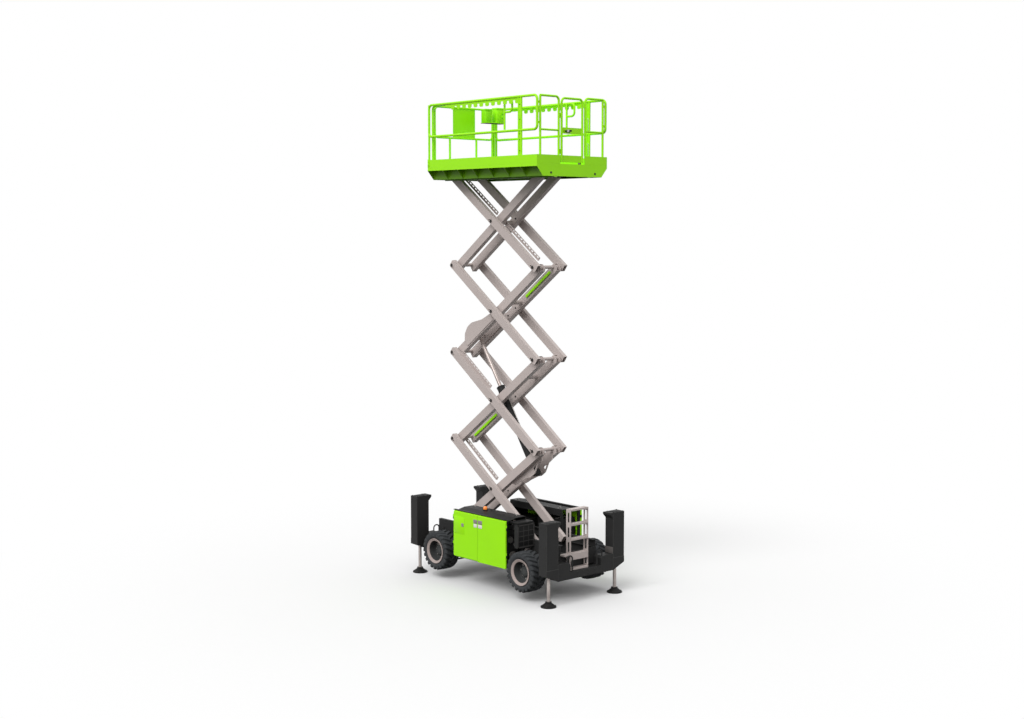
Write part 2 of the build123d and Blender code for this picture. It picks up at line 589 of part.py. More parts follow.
# end beams with an outrigger housing at each side: (name, +1 front or -1 rear)
END_BEAMS = (("front_end_beam", 1), ("rear_end_beam", -1))
for name, end in END_BEAMS:
    with BuildPart() as end_beam:
        beam_x = both(end, (housing_inner_x, housing_outer_x))
        wall = HOUSING_WALL
        pocket_x = both(end, (housing_inner_x - CUT, housing_outer_x - wall))
        plate_yz(beam_profile, beam_x)
        for side in SIDES:
            block(pocket_x, both(side, (BEAM_END_Y + wall, beam_half - wall)),
                  (BEAM_Z[0] + wall, step_low - wall), mode=Mode.SUBTRACT)
            block(beam_x, both(side, HOUSING_Y), HOUSING_Z)
            block(both(end, (housing_inner_x + wall, housing_outer_x - wall)),
                  both(side, (HOUSING_Y[0] + wall, HOUSING_Y[1] - wall)),
                  (HOUSING_Z[0] + HOUSING_FLOOR, HOUSING_Z[1]), mode=Mode.SUBTRACT)
            block(beam_x, both(side, (HOUSING_Y[0] - CAP_OVERHANG, HOUSING_Y[1])),
                  (HOUSING_Z[1] - CUT, HOUSING_Z[1] + CAP_HEIGHT))
            wedge = [(side * (HOUSING_Y[0] + CUT), HOUSING_Z[1] - CAP_WEDGE),
                     (side * (HOUSING_Y[0] - CAP_OVERHANG), HOUSING_Z[1]),
                     (side * (HOUSING_Y[0] + CUT), HOUSING_Z[1])]
            plate_yz(wedge, beam_x)
            plate_yz([(side * y, z) for y, z in shoe_profile],
                     both(end, (housing_outer_x - CUT, housing_outer_x + SHOE_PROUD)))
            round_bar((end * outrigger_x, side * leg_line_y, BEAM_Z[0] - CUT),
                      (end * outrigger_x, side * leg_line_y, HOUSING_Z[0] + GUIDE_DEPTH),
                      LEG_DIAMETER + 2 * LEG_PLAY, mode=Mode.SUBTRACT)
            round_bar((end * outrigger_x, side * leg_line_y, BEAM_Z[0] - CUT),
                      (end * outrigger_x, side * leg_line_y, FOOT_RECESS[1]), FOOT_RECESS[0],
                      mode=Mode.SUBTRACT)
            loop_x = end * (outrigger_x + LOOP_SETOUT)
            low_y, high_y = side * LOOP_Y - LOOP_WIDTH / 2, side * LOOP_Y + LOOP_WIDTH / 2
            loop_foot = BEAM_Z[1] - EYE_BAR / 2
            bent_bar([(loop_x, low_y, loop_foot), (loop_x, low_y, LOOP_TOP),
                      (loop_x, high_y, LOOP_TOP), (loop_x, high_y, loop_foot)], LOOP_BEND, EYE_BAR)
    save(end_beam, name)

# corners of the machine: (name, +1 front or -1 rear, +1 left or -1 right)
CORNERS = (("front_left", 1, 1), ("front_right", 1, -1), ("rear_left", -1, 1), ("rear_right", -1, -1))
foot_radius = FOOT_DIAMETER / 2
collar_radius = foot_radius - FOOT_SLOPE[-1][0]
foot_profile = ([(0, 0), (foot_radius, 0), (foot_radius, FOOT_RIM)]
                + [(foot_radius - inset, height) for inset, height in FOOT_SLOPE]
                + [(collar_radius, FOOT_HEIGHT), (LEG_DIAMETER / 2, FOOT_HEIGHT),
                   (LEG_DIAMETER / 2, LEG_TOP), (0, LEG_TOP)])
for corner, end, side in CORNERS:
    foot_centre = (end * outrigger_x, side * leg_line_y, 0)
    with BuildPart() as leg:
        with BuildSketch(Plane(origin=foot_centre, x_dir=(1, 0, 0), z_dir=(0, -1, 0))) as half:
            Polygon(*foot_profile, align=None)
        revolve(half.sketch, axis=Axis(foot_centre, (0, 0, 1)))
    save(leg, f"outrigger_leg_{corner}")

# ================================================================ axles, knuckles and wheels
beam_top = RAIL_BOTTOM - SEAT
flange_face_y = DISC_Y - SEAT
yoke_z = (AXLE_Z - YOKE_HALF_HEIGHT, AXLE_Z + YOKE_HALF_HEIGHT)


def spindle(end, side, inner_y):
    """Spindle and flange that carry one wheel, from inner_y out to the wheel disc."""
    round_bar((end * AXLE_X, side * inner_y, AXLE_Z), (end * AXLE_X, side * flange_face_y, AXLE_Z),
              SPINDLE_DIAMETER)
    round_bar((end * AXLE_X, side * (flange_face_y - FLANGE_WALL), AXLE_Z),
              (end * AXLE_X, side * flange_face_y, AXLE_Z), FLANGE_DIAMETER)


with BuildPart() as front_axle:
    web_y = kingpin_y - KINGPIN_DIAMETER / 2 - YOKE_CLEARANCE
    yoke_x = (AXLE_X - YOKE_HALF_LENGTH, AXLE_X + YOKE_HALF_LENGTH)
    block((AXLE_X - AXLE_BEAM / 2, AXLE_X + AXLE_BEAM / 2), (-web_y, web_y),
          (beam_top - AXLE_BEAM, beam_top))
    for side in SIDES:
        y = side * kingpin_y
        block(yoke_x, both(side, (web_y - YOKE_WALL, web_y)), yoke_z)
        for low in (yoke_z[0], yoke_z[1] - YOKE_WALL):
            high = low + YOKE_WALL
            block(yoke_x, both(side, (web_y - YOKE_WALL, kingpin_y + YOKE_PAST_PIN)), (low, high))
            round_bar((AXLE_X, y, low - CUT), (AXLE_X, y, high + CUT),
                      KINGPIN_CORE + 2 * PIN_CLEARANCE, mode=Mode.SUBTRACT)
save(front_axle, "front_axle")

with BuildPart() as rear_axle:
    block((-AXLE_X - AXLE_BEAM / 2, -AXLE_X + AXLE_BEAM / 2), (-REAR_BEAM_Y, REAR_BEAM_Y),
          (beam_top - AXLE_BEAM, beam_top))
    for side in SIDES:
        spindle(-1, side, REAR_BEAM_Y - CUT)
save(rear_axle, "rear_axle")

# steering arms hang below the yokes, and the tie rod hangs below the arms
arm_top_z = yoke_z[0] - STEER_ARM_GAP
arm_low_z = arm_top_z - STEER_ARM_HEIGHT
arm_end_x = AXLE_X - STEER_ARM
arm_end_y = kingpin_y - STEER_ARM_INSET
tie_rod_z = (arm_low_z - EYE_PLAY - TIE_ROD_END[1], arm_low_z - EYE_PLAY)
for name, side in (("left", 1), ("right", -1)):
    y = side * kingpin_y
    with BuildPart() as knuckle:
        round_bar((AXLE_X, y, yoke_z[0] + YOKE_WALL + SEAT), (AXLE_X, y, yoke_z[1] - YOKE_WALL - SEAT),
                  KINGPIN_DIAMETER)
        round_bar((AXLE_X, y, arm_low_z), (AXLE_X, y, yoke_z[1]), KINGPIN_CORE)
        spindle(1, side, kingpin_y)
        reach = Vector(arm_end_x, side * arm_end_y) - Vector(AXLE_X, y)
        arm_root = Plane(origin=(AXLE_X, y, arm_low_z), x_dir=tuple(reach), z_dir=(0, 0, 1))
        with BuildSketch(arm_root) as steer_arm:
            with Locations((reach.length / 2, 0)):
                SlotCenterToCenter(reach.length, STEER_ARM_WIDTH)
        extrude(steer_arm.sketch, amount=STEER_ARM_HEIGHT)
        if side > 0:
            round_bar((arm_end_x, arm_end_y, tie_rod_z[0]), (arm_end_x, arm_end_y, arm_low_z + CUT),
                      TIE_ROD_PIN)
    save(knuckle, f"steering_knuckle_{name}")

with BuildPart() as tie_rod:
    rod_z = sum(tie_rod_z) / 2
    round_bar((arm_end_x, -arm_end_y, rod_z), (arm_end_x, arm_end_y, rod_z), TIE_ROD_DIAMETER)
    for side in SIDES:
        round_bar((arm_end_x, side * arm_end_y, tie_rod_z[0]), (arm_end_x, side * arm_end_y, tie_rod_z[1]),
                  TIE_ROD_END[0])
    # only the left end is bored; the right end is where the steering linkage is opened
    round_bar((arm_end_x, arm_end_y, tie_rod_z[0] - CUT), (arm_end_x, arm_end_y, tie_rod_z[1] + CUT),
              TIE_ROD_PIN + 2 * PIN_CLEARANCE, mode=Mode.SUBTRACT)
save(tie_rod, "tie_rod")

tyre_back_y = TYRE_FACE_Y - TYRE_WIDTH
wall_points = ([(RIM_RADIUS + rise, inset) for rise, inset in TYRE_LOWER_WALL]
               + [(TYRE_RADIUS - drop, inset) for drop, inset in TYRE_UPPER_WALL])
tyre_section = ([(radius, tyre_back_y + inset) for radius, inset in wall_points]
                + [(radius, TYRE_FACE_Y - inset) for radius, inset in reversed(wall_points)])
barrel_radius = RIM_RADIUS - RIM_WALL
barrel_section = [(barrel_radius, tyre_back_y + 20), (RIM_RADIUS, tyre_back_y + 20),
                  (RIM_RADIUS, TYRE_FACE_Y - 24), (RIM_RADIUS + RIM_FLANGE, TYRE_FACE_Y - 6),
                  (RIM_RADIUS + RIM_FLANGE, TYRE_FACE_Y), (barrel_radius - 6, TYRE_FACE_Y - 18),
                  (barrel_radius, TYRE_FACE_Y - 60)]
disc_face_y = DISC_Y + DISC_WALL
disc_section = [(0, DISC_Y), (barrel_radius + 2, DISC_Y), (barrel_radius + 2, disc_face_y + 26),
                (barrel_radius - 20, disc_face_y), (HUB_RADIUS + 14, disc_face_y),
                (HUB_RADIUS, DISC_Y + HUB_DEPTH - DISC_WALL), (HUB_RADIUS - 34, DISC_Y + HUB_DEPTH),
                (0, DISC_Y + HUB_DEPTH)]
for corner, end, side in CORNERS:
    centre = (end * AXLE_X, 0, AXLE_Z)
    # half section: local x is the radius, local y is the distance out from the centre plane
    section_plane = Plane(origin=centre, x_dir=(1, 0, 0), z_dir=(0, 0, side))
    wheel_axis = Axis(centre, (0, side, 0))
    with BuildPart() as tyre:
        with BuildSketch(section_plane) as half:
            Polygon(*tyre_section, align=None)
        revolve(half.sketch, axis=wheel_axis)
    save(tyre, f"tyre_{corner}")
    with BuildPart() as rim:
        with BuildSketch(section_plane) as half:
            Polygon(*barrel_section, align=None)
            Polygon(*disc_section, align=None)
        revolve(half.sketch, axis=wheel_axis)
    save(rim, f"rim_{corner}")

# ================================================================ side modules
rail_outer_y = rail_web_y + RAIL_WALL + SEAT
door_back_y = MODULE_FACE_Y - DOOR_THICKNESS
tray_outer_y = door_back_y - DOOR_GAP
tray_y = (rail_outer_y, tray_outer_y)
tray_x = (module_x[0] + TRAY_WALL, module_x[1] - TRAY_WALL)
tray_z = MODULE_Z[0] + TRAY_RAISE
cover_edge_z = COVER_PEAK_Z - COVER_EDGE_DROP
cover_inner_z = COVER_PEAK_Z - COVER_INNER_DROP
# hinge axes: (edge of the module, direction in which the hinge stands off)
HINGE_ENDS = {"front": (module_x[1], 1), "rear": (module_x[0], -1)}
hinge_offset = HINGE_DIAMETER / 2 + HINGE_CLEARANCE

for name, side in (("left", 1), ("right", -1)):
    with BuildPart() as tray:
        front_wall = (tray_x[1] - TRAY_WALL, tray_x[1])
        post = (tray_x[0], tray_x[0] + TRAY_POST)
        block(tray_x, both(side, tray_y), (tray_z, tray_z + TRAY_WALL))
        block(front_wall, both(side, tray_y), (tray_z, cover_edge_z))
        block(post, both(side, (tray_outer_y - TRAY_POST, tray_outer_y)), (tray_z, cover_edge_z))
        block(post, both(side, (rail_outer_y, rail_outer_y + TRAY_POST)), (tray_z, cover_edge_z))
        outside = [(tray_outer_y, cover_edge_z + COVER_WALL), (COVER_SHOULDER_Y, COVER_PEAK_Z),
                   (rail_outer_y + COVER_INNER_RUN, COVER_PEAK_Z), (rail_outer_y, cover_inner_z)]
        inside = [(rail_outer_y + COVER_WALL, cover_inner_z),
                  (rail_outer_y + COVER_INNER_RUN + COVER_WALL, COVER_PEAK_Z - COVER_WALL),
                  (COVER_SHOULDER_Y, COVER_PEAK_Z - COVER_WALL), (tray_outer_y, cover_edge_z - CUT)]
        plate_yz([(side * y, z) for y, z in outside + inside], tray_x)
        end_wall = [(tray_outer_y, cover_edge_z - CUT), (COVER_SHOULDER_Y, COVER_PEAK_Z - CUT),
                    (rail_outer_y + COVER_INNER_RUN, COVER_PEAK_Z - CUT), (rail_outer_y, cover_inner_z)]
        plate_yz([(side * y, z) for y, z in end_wall], front_wall)
        for edge, out in HINGE_ENDS.values():
            axis_x = edge + out * hinge_offset
            leaf_y = both(side, (tray_outer_y - GATE_SHEET, tray_outer_y + CUT))
            arm_y = both(side, (tray_outer_y - GATE_SHEET, HINGE_Y))
            for level in HINGE_LEVELS:
                span = (level, level + HINGE_HEIGHT)
                block((edge - out * (TRAY_WALL + HINGE_LEAF), axis_x), leaf_y, span)
                block((axis_x - HINGE_PLATE / 2, axis_x + HINGE_PLATE / 2), arm_y, span)
                round_bar((axis_x, side * HINGE_Y, span[0]), (axis_x, side * HINGE_Y, span[1]),
                          HINGE_DIAMETER)
    save(tray, f"module_tray_{name}")

    # doors: (which, span along the machine)
    doors = (("front", (DOOR_SEAM_X + DOOR_GAP / 2, module_x[1])),
             ("rear", (module_x[0], DOOR_SEAM_X - DOOR_GAP / 2)))
    for which, span in doors:
        edge, out = HINGE_ENDS[which]
        axis_x = edge + out * hinge_offset
        with BuildPart() as door:
            with BuildSketch(Plane(origin=(0, side * door_back_y, 0), x_dir=(1, 0, 0), z_dir=(0, -1, 0))):
                with Locations((sum(span) / 2, sum(MODULE_Z) / 2)):
                    Rectangle(span[1] - span[0], MODULE_Z[1] - MODULE_Z[0])
                if which == "front":
                    fillet(vertices().group_by(Axis.X)[-1], DOOR_CORNER)
            extrude(amount=-side * DOOR_THICKNESS)
            outer_face = faces().sort_by(Axis.Y)[-1 if side > 0 else 0]
            chamfer(outer_face.edges().group_by(Axis.Z)[-1], DOOR_BEVEL)
            knuckle_y = both(side, (HINGE_Y - HINGE_PLATE / 2, HINGE_Y + HINGE_PLATE / 2))
            for level in HINGE_LEVELS:
                knuckle_z = (level + HINGE_HEIGHT + SEAT, level + 2 * HINGE_HEIGHT)
                round_bar((axis_x, side * HINGE_Y, knuckle_z[0]), (axis_x, side * HINGE_Y, knuckle_z[1]),
                          HINGE_DIAMETER)
                block((edge - out * CUT, axis_x), knuckle_y, knuckle_z)
        save(door, f"door_{name}_{which}")

tray_floor = tray_z + TRAY_WALL + SEAT
tray_middle_y = sum(tray_y) / 2


def standing_block(size, x_start, middle_y, z):
    """An upright box given as (length, width, height), from its rear end, middle line and foot."""
    block((x_start, x_start + size[0]), (middle_y - size[1] / 2, middle_y + size[1] / 2), (z, z + size[2]))


with BuildPart() as engine:
    engine_x = tray_x[0] + ENGINE_SETBACK
    head_x = engine_x + (ENGINE_BLOCK[0] - ENGINE_HEAD[0]) / 2
    standing_block(ENGINE_BLOCK, engine_x, tray_middle_y, tray_floor)
    standing_block(ENGINE_HEAD, head_x, tray_middle_y, tray_floor + ENGINE_BLOCK[2] - CUT)
save(engine, "engine")

with BuildPart() as tanks:
    standing_block(FUEL_TANK, tray_x[0] + TANK_SETBACK, -tray_middle_y, tray_floor)
    oil_start = tray_x[0] + TANK_SETBACK + FUEL_TANK[0] + TANK_GAP
    oil_tank = (tray_x[1] - TANK_SETBACK - oil_start, *OIL_TANK)
    standing_block(oil_tank, oil_start, -tray_middle_y, tray_floor)
save(tanks, "fuel_and_oil_tanks")

radiator_z = AXLE_Z + TYRE_RADIUS + RADIATOR_ABOVE_TYRE
radiator_front_x = tray_x[0] - RADIATOR_STANDOFF
radiator_rear_x = radiator_front_x - RADIATOR[0]
radiator_y = (rail_outer_y, rail_outer_y + RADIATOR[1])
with BuildPart() as radiator:
    opening_y = (radiator_y[0] + RADIATOR_FRAME, radiator_y[1] - RADIATOR_FRAME)
    opening_z = (radiator_z + RADIATOR_FRAME, radiator_z + RADIATOR[2] - RADIATOR_FRAME)
    block((radiator_rear_x, radiator_front_x), radiator_y, (radiator_z, radiator_z + RADIATOR[2]))
    block((radiator_rear_x - CUT, radiator_front_x - RADIATOR_BACK), opening_y, opening_z,
          mode=Mode.SUBTRACT)
    slat_pitch = (opening_z[1] - opening_z[0]) / (RADIATOR_SLATS + 1)
    for number in range(1, RADIATOR_SLATS + 1):
        z = opening_z[0] + number * slat_pitch
        block((radiator_rear_x + SLAT_HEIGHT, radiator_front_x), radiator_y,
              (z - SLAT_HEIGHT / 2, z + SLAT_HEIGHT / 2))
    for level in RADIATOR_STAYS:
        block((radiator_front_x - CUT, tray_x[0] - SEAT), (rail_outer_y, rail_outer_y + STAY_SECTION[0]),
              (radiator_z + level, radiator_z + level + STAY_SECTION[1]))
save(radiator, "radiator")

# ================================================================ ladder
with BuildPart() as ladder:
    ladder_front_x = -(rail_half_length + END_PLATE + LADDER_GAP)
    ladder_x = (ladder_front_x - STILE_DEPTH, ladder_front_x)
    ladder_foot = BEAM_Z[1] + SEAT
    slot_x = (sum(ladder_x) - STILE_SLOT) / 2, (sum(ladder_x) + STILE_SLOT) / 2
    pitch = (LADDER_TOP - ladder_foot - STEP_HEIGHT) / (STEP_COUNT - 1)
    stiles = ((LADDER_Y[0], LADDER_Y[0] + STILE_WALL), (LADDER_Y[1] - STILE_WALL, LADDER_Y[1]))
    for stile_y in stiles:
        block(ladder_x, stile_y, (ladder_foot, LADDER_TOP))
        stay_y = sum(stile_y) / 2
        block((ladder_front_x - CUT, -rail_half_length - END_PLATE - SEAT),
              (stay_y - LADDER_STAY[0] / 2, stay_y + LADDER_STAY[0] / 2),
              (track_bottom - LADDER_STAY_DROP - LADDER_STAY[1], track_bottom - LADDER_STAY_DROP))
    for step in range(STEP_COUNT):
        step_z = ladder_foot + step * pitch
        extra = WIDE_STEP_EXTRA if step == WIDE_STEP else 0.0
        block(ladder_x, (LADDER_Y[0], LADDER_Y[1] + extra), (step_z, step_z + STEP_HEIGHT))
        if step == WIDE_STEP:
            lip_wall, lip_depth = WIDE_STEP_LIP
            block((ladder_x[0], ladder_x[0] + lip_wall), LADDER_Y, (step_z - lip_depth, step_z + CUT))
        if step < STEP_COUNT - 1:
            slot_z = (step_z + STEP_HEIGHT + SLOT_MARGIN, step_z + pitch - SLOT_MARGIN)
            for stile_y in stiles:
                block(slot_x, (stile_y[0] - CUT, stile_y[1] + CUT), slot_z, mode=Mode.SUBTRACT)
save(ladder, "ladder")

# ================================================================ platform
floor_top = top_pin_z + FLOOR_TOP_RISE
floor_bottom = floor_top - FLOOR_PLATE
fascia_bottom = top_pin_z - FASCIA_DROP
toe_bottom = top_pin_z + TOE_BOTTOM_RISE
top_track_low = top_pin_z - ROLLER_DIAMETER / 2 - ROLLER_RUN
top_track_high = top_pin_z + ROLLER_DIAMETER / 2 + ROLLER_RUN
half_deck = DECK_HALF_WIDTH
side_beam_y = half_deck - FASCIA_CHAMFER
deck_length = DECK_X[1] - DECK_X[0]
with BuildPart() as deck:
    block(DECK_X, (-half_deck, half_deck), (floor_bottom, floor_top))
    fascia = [(side_beam_y, fascia_bottom), (half_deck, toe_bottom - CUT), (half_deck, floor_top)]
    fascia += [(-y, z) for y, z in reversed(fascia)]
    for fascia_x in ((DECK_X[0], DECK_X[0] + DECK_WALL), (DECK_X[1] - DECK_WALL, DECK_X[1])):
        plate_yz(fascia, fascia_x)
    for side in SIDES:
        # edge skirt, side beam and the roller track
        block(DECK_X, both(side, (half_deck - DECK_WALL, half_deck)), (toe_bottom, floor_bottom + CUT))
        block(DECK_X, both(side, (side_beam_y - DECK_WALL, side_beam_y)),
              (fascia_bottom, floor_bottom + CUT))
        block(DECK_X, both(side, (rail_web_y, rail_web_y + DECK_WALL)),
              (top_track_low - DECK_WALL, floor_bottom + CUT))
        lip = both(side, (track_lip_y, rail_web_y + CUT))
        block(DECK_X, lip, (top_track_low - DECK_WALL, top_track_low))
        block(DECK_X, lip, (top_track_high, top_track_high + DECK_WALL))
        gusset = [(side * side_beam_y, fascia_bottom), (side * half_deck, toe_bottom),
                  (side * half_deck, floor_bottom + CUT), (side * side_beam_y, floor_bottom + CUT)]
        for number in range(1, GUSSET_COUNT + 1):
            x = DECK_X[0] + number * deck_length / (GUSSET_COUNT + 1)
            plate_yz(gusset, (x - DECK_WALL / 2, x + DECK_WALL / 2))
        for number in range(1, DECK_CROSSMEMBERS + 1):
            x = DECK_X[0] + number * deck_length / (DECK_CROSSMEMBERS + 1)
            block((x - DECK_CROSSMEMBER / 2, x + DECK_CROSSMEMBER / 2),
                  both(side, (rail_web_y, side_beam_y)), (top_track_high, floor_bottom + CUT))
    shaft_y = rail_web_y + DECK_WALL
    round_bar((BASE_PIN_X, -shaft_y, top_pin_z), (BASE_PIN_X, shaft_y, top_pin_z), PIN_DIAMETER)
save(deck, "platform_deck")

toe_z = (floor_top + SEAT, toe_bottom + TOE_HEIGHT)
gate_opening = GATE_HALF_WIDTH + GATE_GAP
with BuildPart() as toe_boards:
    for side in SIDES:
        block(DECK_X, both(side, (half_deck - TOE_THICKNESS, half_deck)), toe_z)
        block((DECK_X[0], DECK_X[0] + TOE_THICKNESS), both(side, (half_deck, gate_opening)), toe_z)
save(toe_boards, "toe_boards")

top_rail_z = top_pin_z + TOP_RAIL_RISE
mid_rail_z = top_pin_z + MID_RAIL_RISE
rail_y = half_deck - RAIL_TUBE / 2
corner_y = rail_y - CORNER_POST_INSET
post_foot = toe_z[1] + SEAT
rail_rear_x = DECK_X[0] + RAIL_TUBE / 2
rail_front_x = DECK_X[1] - RAIL_TUBE / 2
gate_post_y = gate_opening + RAIL_TUBE / 2
gate_hinge_y = GATE_HALF_WIDTH + GATE_GAP / 2
post_xs = [DECK_X[0] + REAR_BAY, rail_front_x]
gate_hinge_levels = (toe_z[1] + GATE_HINGE_RISES[0], mid_rail_z + GATE_HINGE_RISES[1])
strip_x = (DECK_X[0] + STRIP_SETBACKS[0], DECK_X[1] - STRIP_SETBACKS[1])
with BuildPart() as guard_rails:
    for side in SIDES:
        y = side * rail_y
        post_y = side * gate_post_y
        # closed side loop above the mid rail, on posts down to the toe board
        bent_bar([(rail_rear_x, y, mid_rail_z), (rail_rear_x, y, top_rail_z), (rail_front_x, y, top_rail_z),
                  (rail_front_x, y, mid_rail_z)], RAIL_BEND, RAIL_TUBE, close=True)
        for x in post_xs:
            round_bar((x, y, post_foot), (x, y, top_rail_z), POST_TUBE)
        # rear panel between the corner post and the gate post, linked to the side loop
        panel_end = side * corner_y
        bent_bar([(rail_rear_x, post_y, post_foot), (rail_rear_x, post_y, top_rail_z),
                  (rail_rear_x, panel_end, top_rail_z)], RAIL_BEND, POST_TUBE)
        round_bar((rail_rear_x, panel_end, post_foot), (rail_rear_x, panel_end, top_rail_z), BRACE_TUBE)
        round_bar((rail_rear_x, post_y, mid_rail_z), (rail_rear_x, panel_end, mid_rail_z), BRACE_TUBE - 4)
        for z in (top_rail_z - LINK_MARGIN, mid_rail_z + LINK_MARGIN):
            block((rail_rear_x - LINK[0] / 2, rail_rear_x + LINK[0] / 2), (panel_end, y),
                  (z - LINK[1] / 2, z + LINK[1] / 2))
        # notched strip under the top rail
        strip_top = top_rail_z - RAIL_TUBE / 4
        strip_y = both(side, (rail_y - STRIP_WALL / 2, rail_y + STRIP_WALL / 2))
        block(strip_x, strip_y, (strip_top - STRIP_HEIGHT + STRIP_NOTCH, strip_top))
        for number in range(int((strip_x[1] - strip_x[0]) / STRIP_PITCH)):
            tooth_x = strip_x[0] + number * STRIP_PITCH
            tooth = [(tooth_x, strip_top), (tooth_x, strip_top - STRIP_HEIGHT + STRIP_CORNER),
                     (tooth_x + STRIP_CORNER, strip_top - STRIP_HEIGHT),
                     (tooth_x + STRIP_TOOTH - STRIP_CORNER, strip_top - STRIP_HEIGHT),
                     (tooth_x + STRIP_TOOTH, strip_top - STRIP_HEIGHT + STRIP_CORNER),
                     (tooth_x + STRIP_TOOTH, strip_top)]
            plate_xz(tooth, strip_y)
    for z in gate_hinge_levels:
        block((rail_rear_x - GATE_HINGE_PLATE / 2, rail_rear_x + GATE_HINGE_PLATE / 2),
              (gate_hinge_y, gate_post_y), (z - HINGE_HEIGHT, z))
        round_bar((rail_rear_x, gate_hinge_y, z - HINGE_HEIGHT), (rail_rear_x, gate_hinge_y, z),
                  GATE_HINGE_DIAMETER)
save(guard_rails, "guard_rails")

with BuildPart() as gate:
    stile_y = GATE_HALF_WIDTH - RAIL_TUBE / 2
    gate_top = top_rail_z - GATE_DROP
    gate_foot = floor_top + GATE_FOOT
    sheet_x = (rail_rear_x - GATE_SHEET / 2, rail_rear_x + GATE_SHEET / 2)
    bent_bar([(rail_rear_x, -stile_y, gate_foot), (rail_rear_x, -stile_y, gate_top),
              (rail_rear_x, stile_y, gate_top), (rail_rear_x, stile_y, gate_foot)], RAIL_BEND, POST_TUBE)
    block(sheet_x, (-stile_y, stile_y), (mid_rail_z - GATE_SHEET_HALF, mid_rail_z + GATE_SHEET_HALF))
    block(sheet_x, (-stile_y, stile_y), (gate_foot, toe_z[1]))
    for z in gate_hinge_levels:
        span = (z + SEAT, z + HINGE_HEIGHT)
        block((rail_rear_x - GATE_HINGE_PLATE / 2, rail_rear_x + GATE_HINGE_PLATE / 2),
              (stile_y, gate_hinge_y), span)
        round_bar((rail_rear_x, gate_hinge_y, span[0]), (rail_rear_x, gate_hinge_y, span[1]),
                  GATE_HINGE_DIAMETER)
save(gate, "rear_gate")

# ================================================================ sliding extension
slide_low = floor_top + EXTENSION_LIFT
slide_top = slide_low + EXTENSION_PLATE
slide_front_x = DECK_X[1] - TOE_THICKNESS
slide_rear_x = slide_front_x - EXTENSION_LENGTH
slide_half = half_deck - TOE_THICKNESS - EXTENSION_SIDE_GAP
slide_rail_y = slide_half - EXTENSION_TUBE / 2
with BuildPart() as extension_deck:
    block((slide_rear_x, slide_front_x + CUT), (-slide_half, slide_half), (slide_low, slide_top))
    front_toe_y = half_deck - TOE_THICKNESS - SLIDE_GAP
    block((slide_front_x, DECK_X[1]), (-front_toe_y, front_toe_y), (slide_low, toe_z[1]))
    skid_y = (slide_rail_y - SKID[1], slide_rail_y)
    for side in SIDES:
        for x in (slide_rear_x + SKID[2], slide_front_x - FRONT_SKID_SETBACK):
            block((x - SKID[0] / 2, x + SKID[0] / 2), both(side, skid_y),
                  (floor_top + SEAT, slide_low + CUT))
save(extension_deck, "extension_deck")

loop_x = slide_front_x - EXTENSION_POST / 2 - SEAT
loop_half = slide_half - FRONT_LOOP_INSET
loop_top = top_rail_z - EXTENSION_RAIL_DROP
loop_foot = slide_top + SEAT
handle_x = slide_rear_x + 2 * EXTENSION_TUBE
with BuildPart() as extension_rails:
    bent_bar([(loop_x, -loop_half, mid_rail_z), (loop_x, -loop_half, loop_top),
              (loop_x, loop_half, loop_top), (loop_x, loop_half, mid_rail_z)],
             RAIL_BEND, EXTENSION_TUBE, close=True)
    for y in FRONT_POST_YS:
        round_bar((loop_x, y, loop_foot), (loop_x, y, mid_rail_z), EXTENSION_POST)
    block((loop_x - SHEET_WALL / 2, loop_x + SHEET_WALL / 2), (-FRONT_SHEET_HALF, FRONT_SHEET_HALF),
          (mid_rail_z, loop_top))
    for side in SIDES:
        y = side * slide_rail_y
        loop_side = side * loop_half
        round_bar((loop_x, loop_side, loop_foot), (loop_x, loop_side, mid_rail_z + 2 * RAIL_BEND),
                  EXTENSION_POST)
        # side rail linked to the front loop, ending in a hand loop behind a hanging post
        grip_x = handle_x - HANDLE_RUN
        grip_low = loop_top - HANDLE_DEPTH
        bent_bar([(loop_x, y, loop_foot), (loop_x, y, loop_top), (grip_x, y, loop_top),
                  (grip_x, y, grip_low), (handle_x, y, grip_low)], RAIL_BEND, EXTENSION_TUBE)
        round_bar((handle_x, y, loop_top), (handle_x, y, loop_top - HANDLE_DROP), EXTENSION_TUBE)
        for z in (loop_top - LINK_MARGIN, mid_rail_z + LINK_MARGIN):
            block((loop_x - LINK[0] / 2, loop_x + LINK[0] / 2), (loop_side, y),
                  (z - LINK[1] / 2, z + LINK[1] / 2))
save(extension_rails, "extension_rails")

shelf_x = loop_x - CONTROL_SETBACK
shelf_y = -(slide_rail_y - EXTENSION_TUBE / 2 - SEAT)
shelf_top = loop_top - CONTROL_DROP
with BuildPart() as controls:
    shelf_length, shelf_width, shelf_wall = CONTROL_SHELF
    block((shelf_x - shelf_length / 2, shelf_x + shelf_length / 2), (shelf_y, shelf_y + shelf_width),
          (shelf_top - shelf_wall, shelf_top))
    standing_block(CONTROL_BOX, shelf_x - CONTROL_BOX[0] / 2, shelf_y + CONTROL_BOX[1] / 2, shelf_top - CUT)
    standing_block(MANUAL_BOX, shelf_x - MANUAL_BOX[0] / 2, shelf_y + shelf_width - MANUAL_BOX[1] / 2,
                   shelf_top - CUT)
save(controls, "platform_controls")
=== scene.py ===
import json
import math

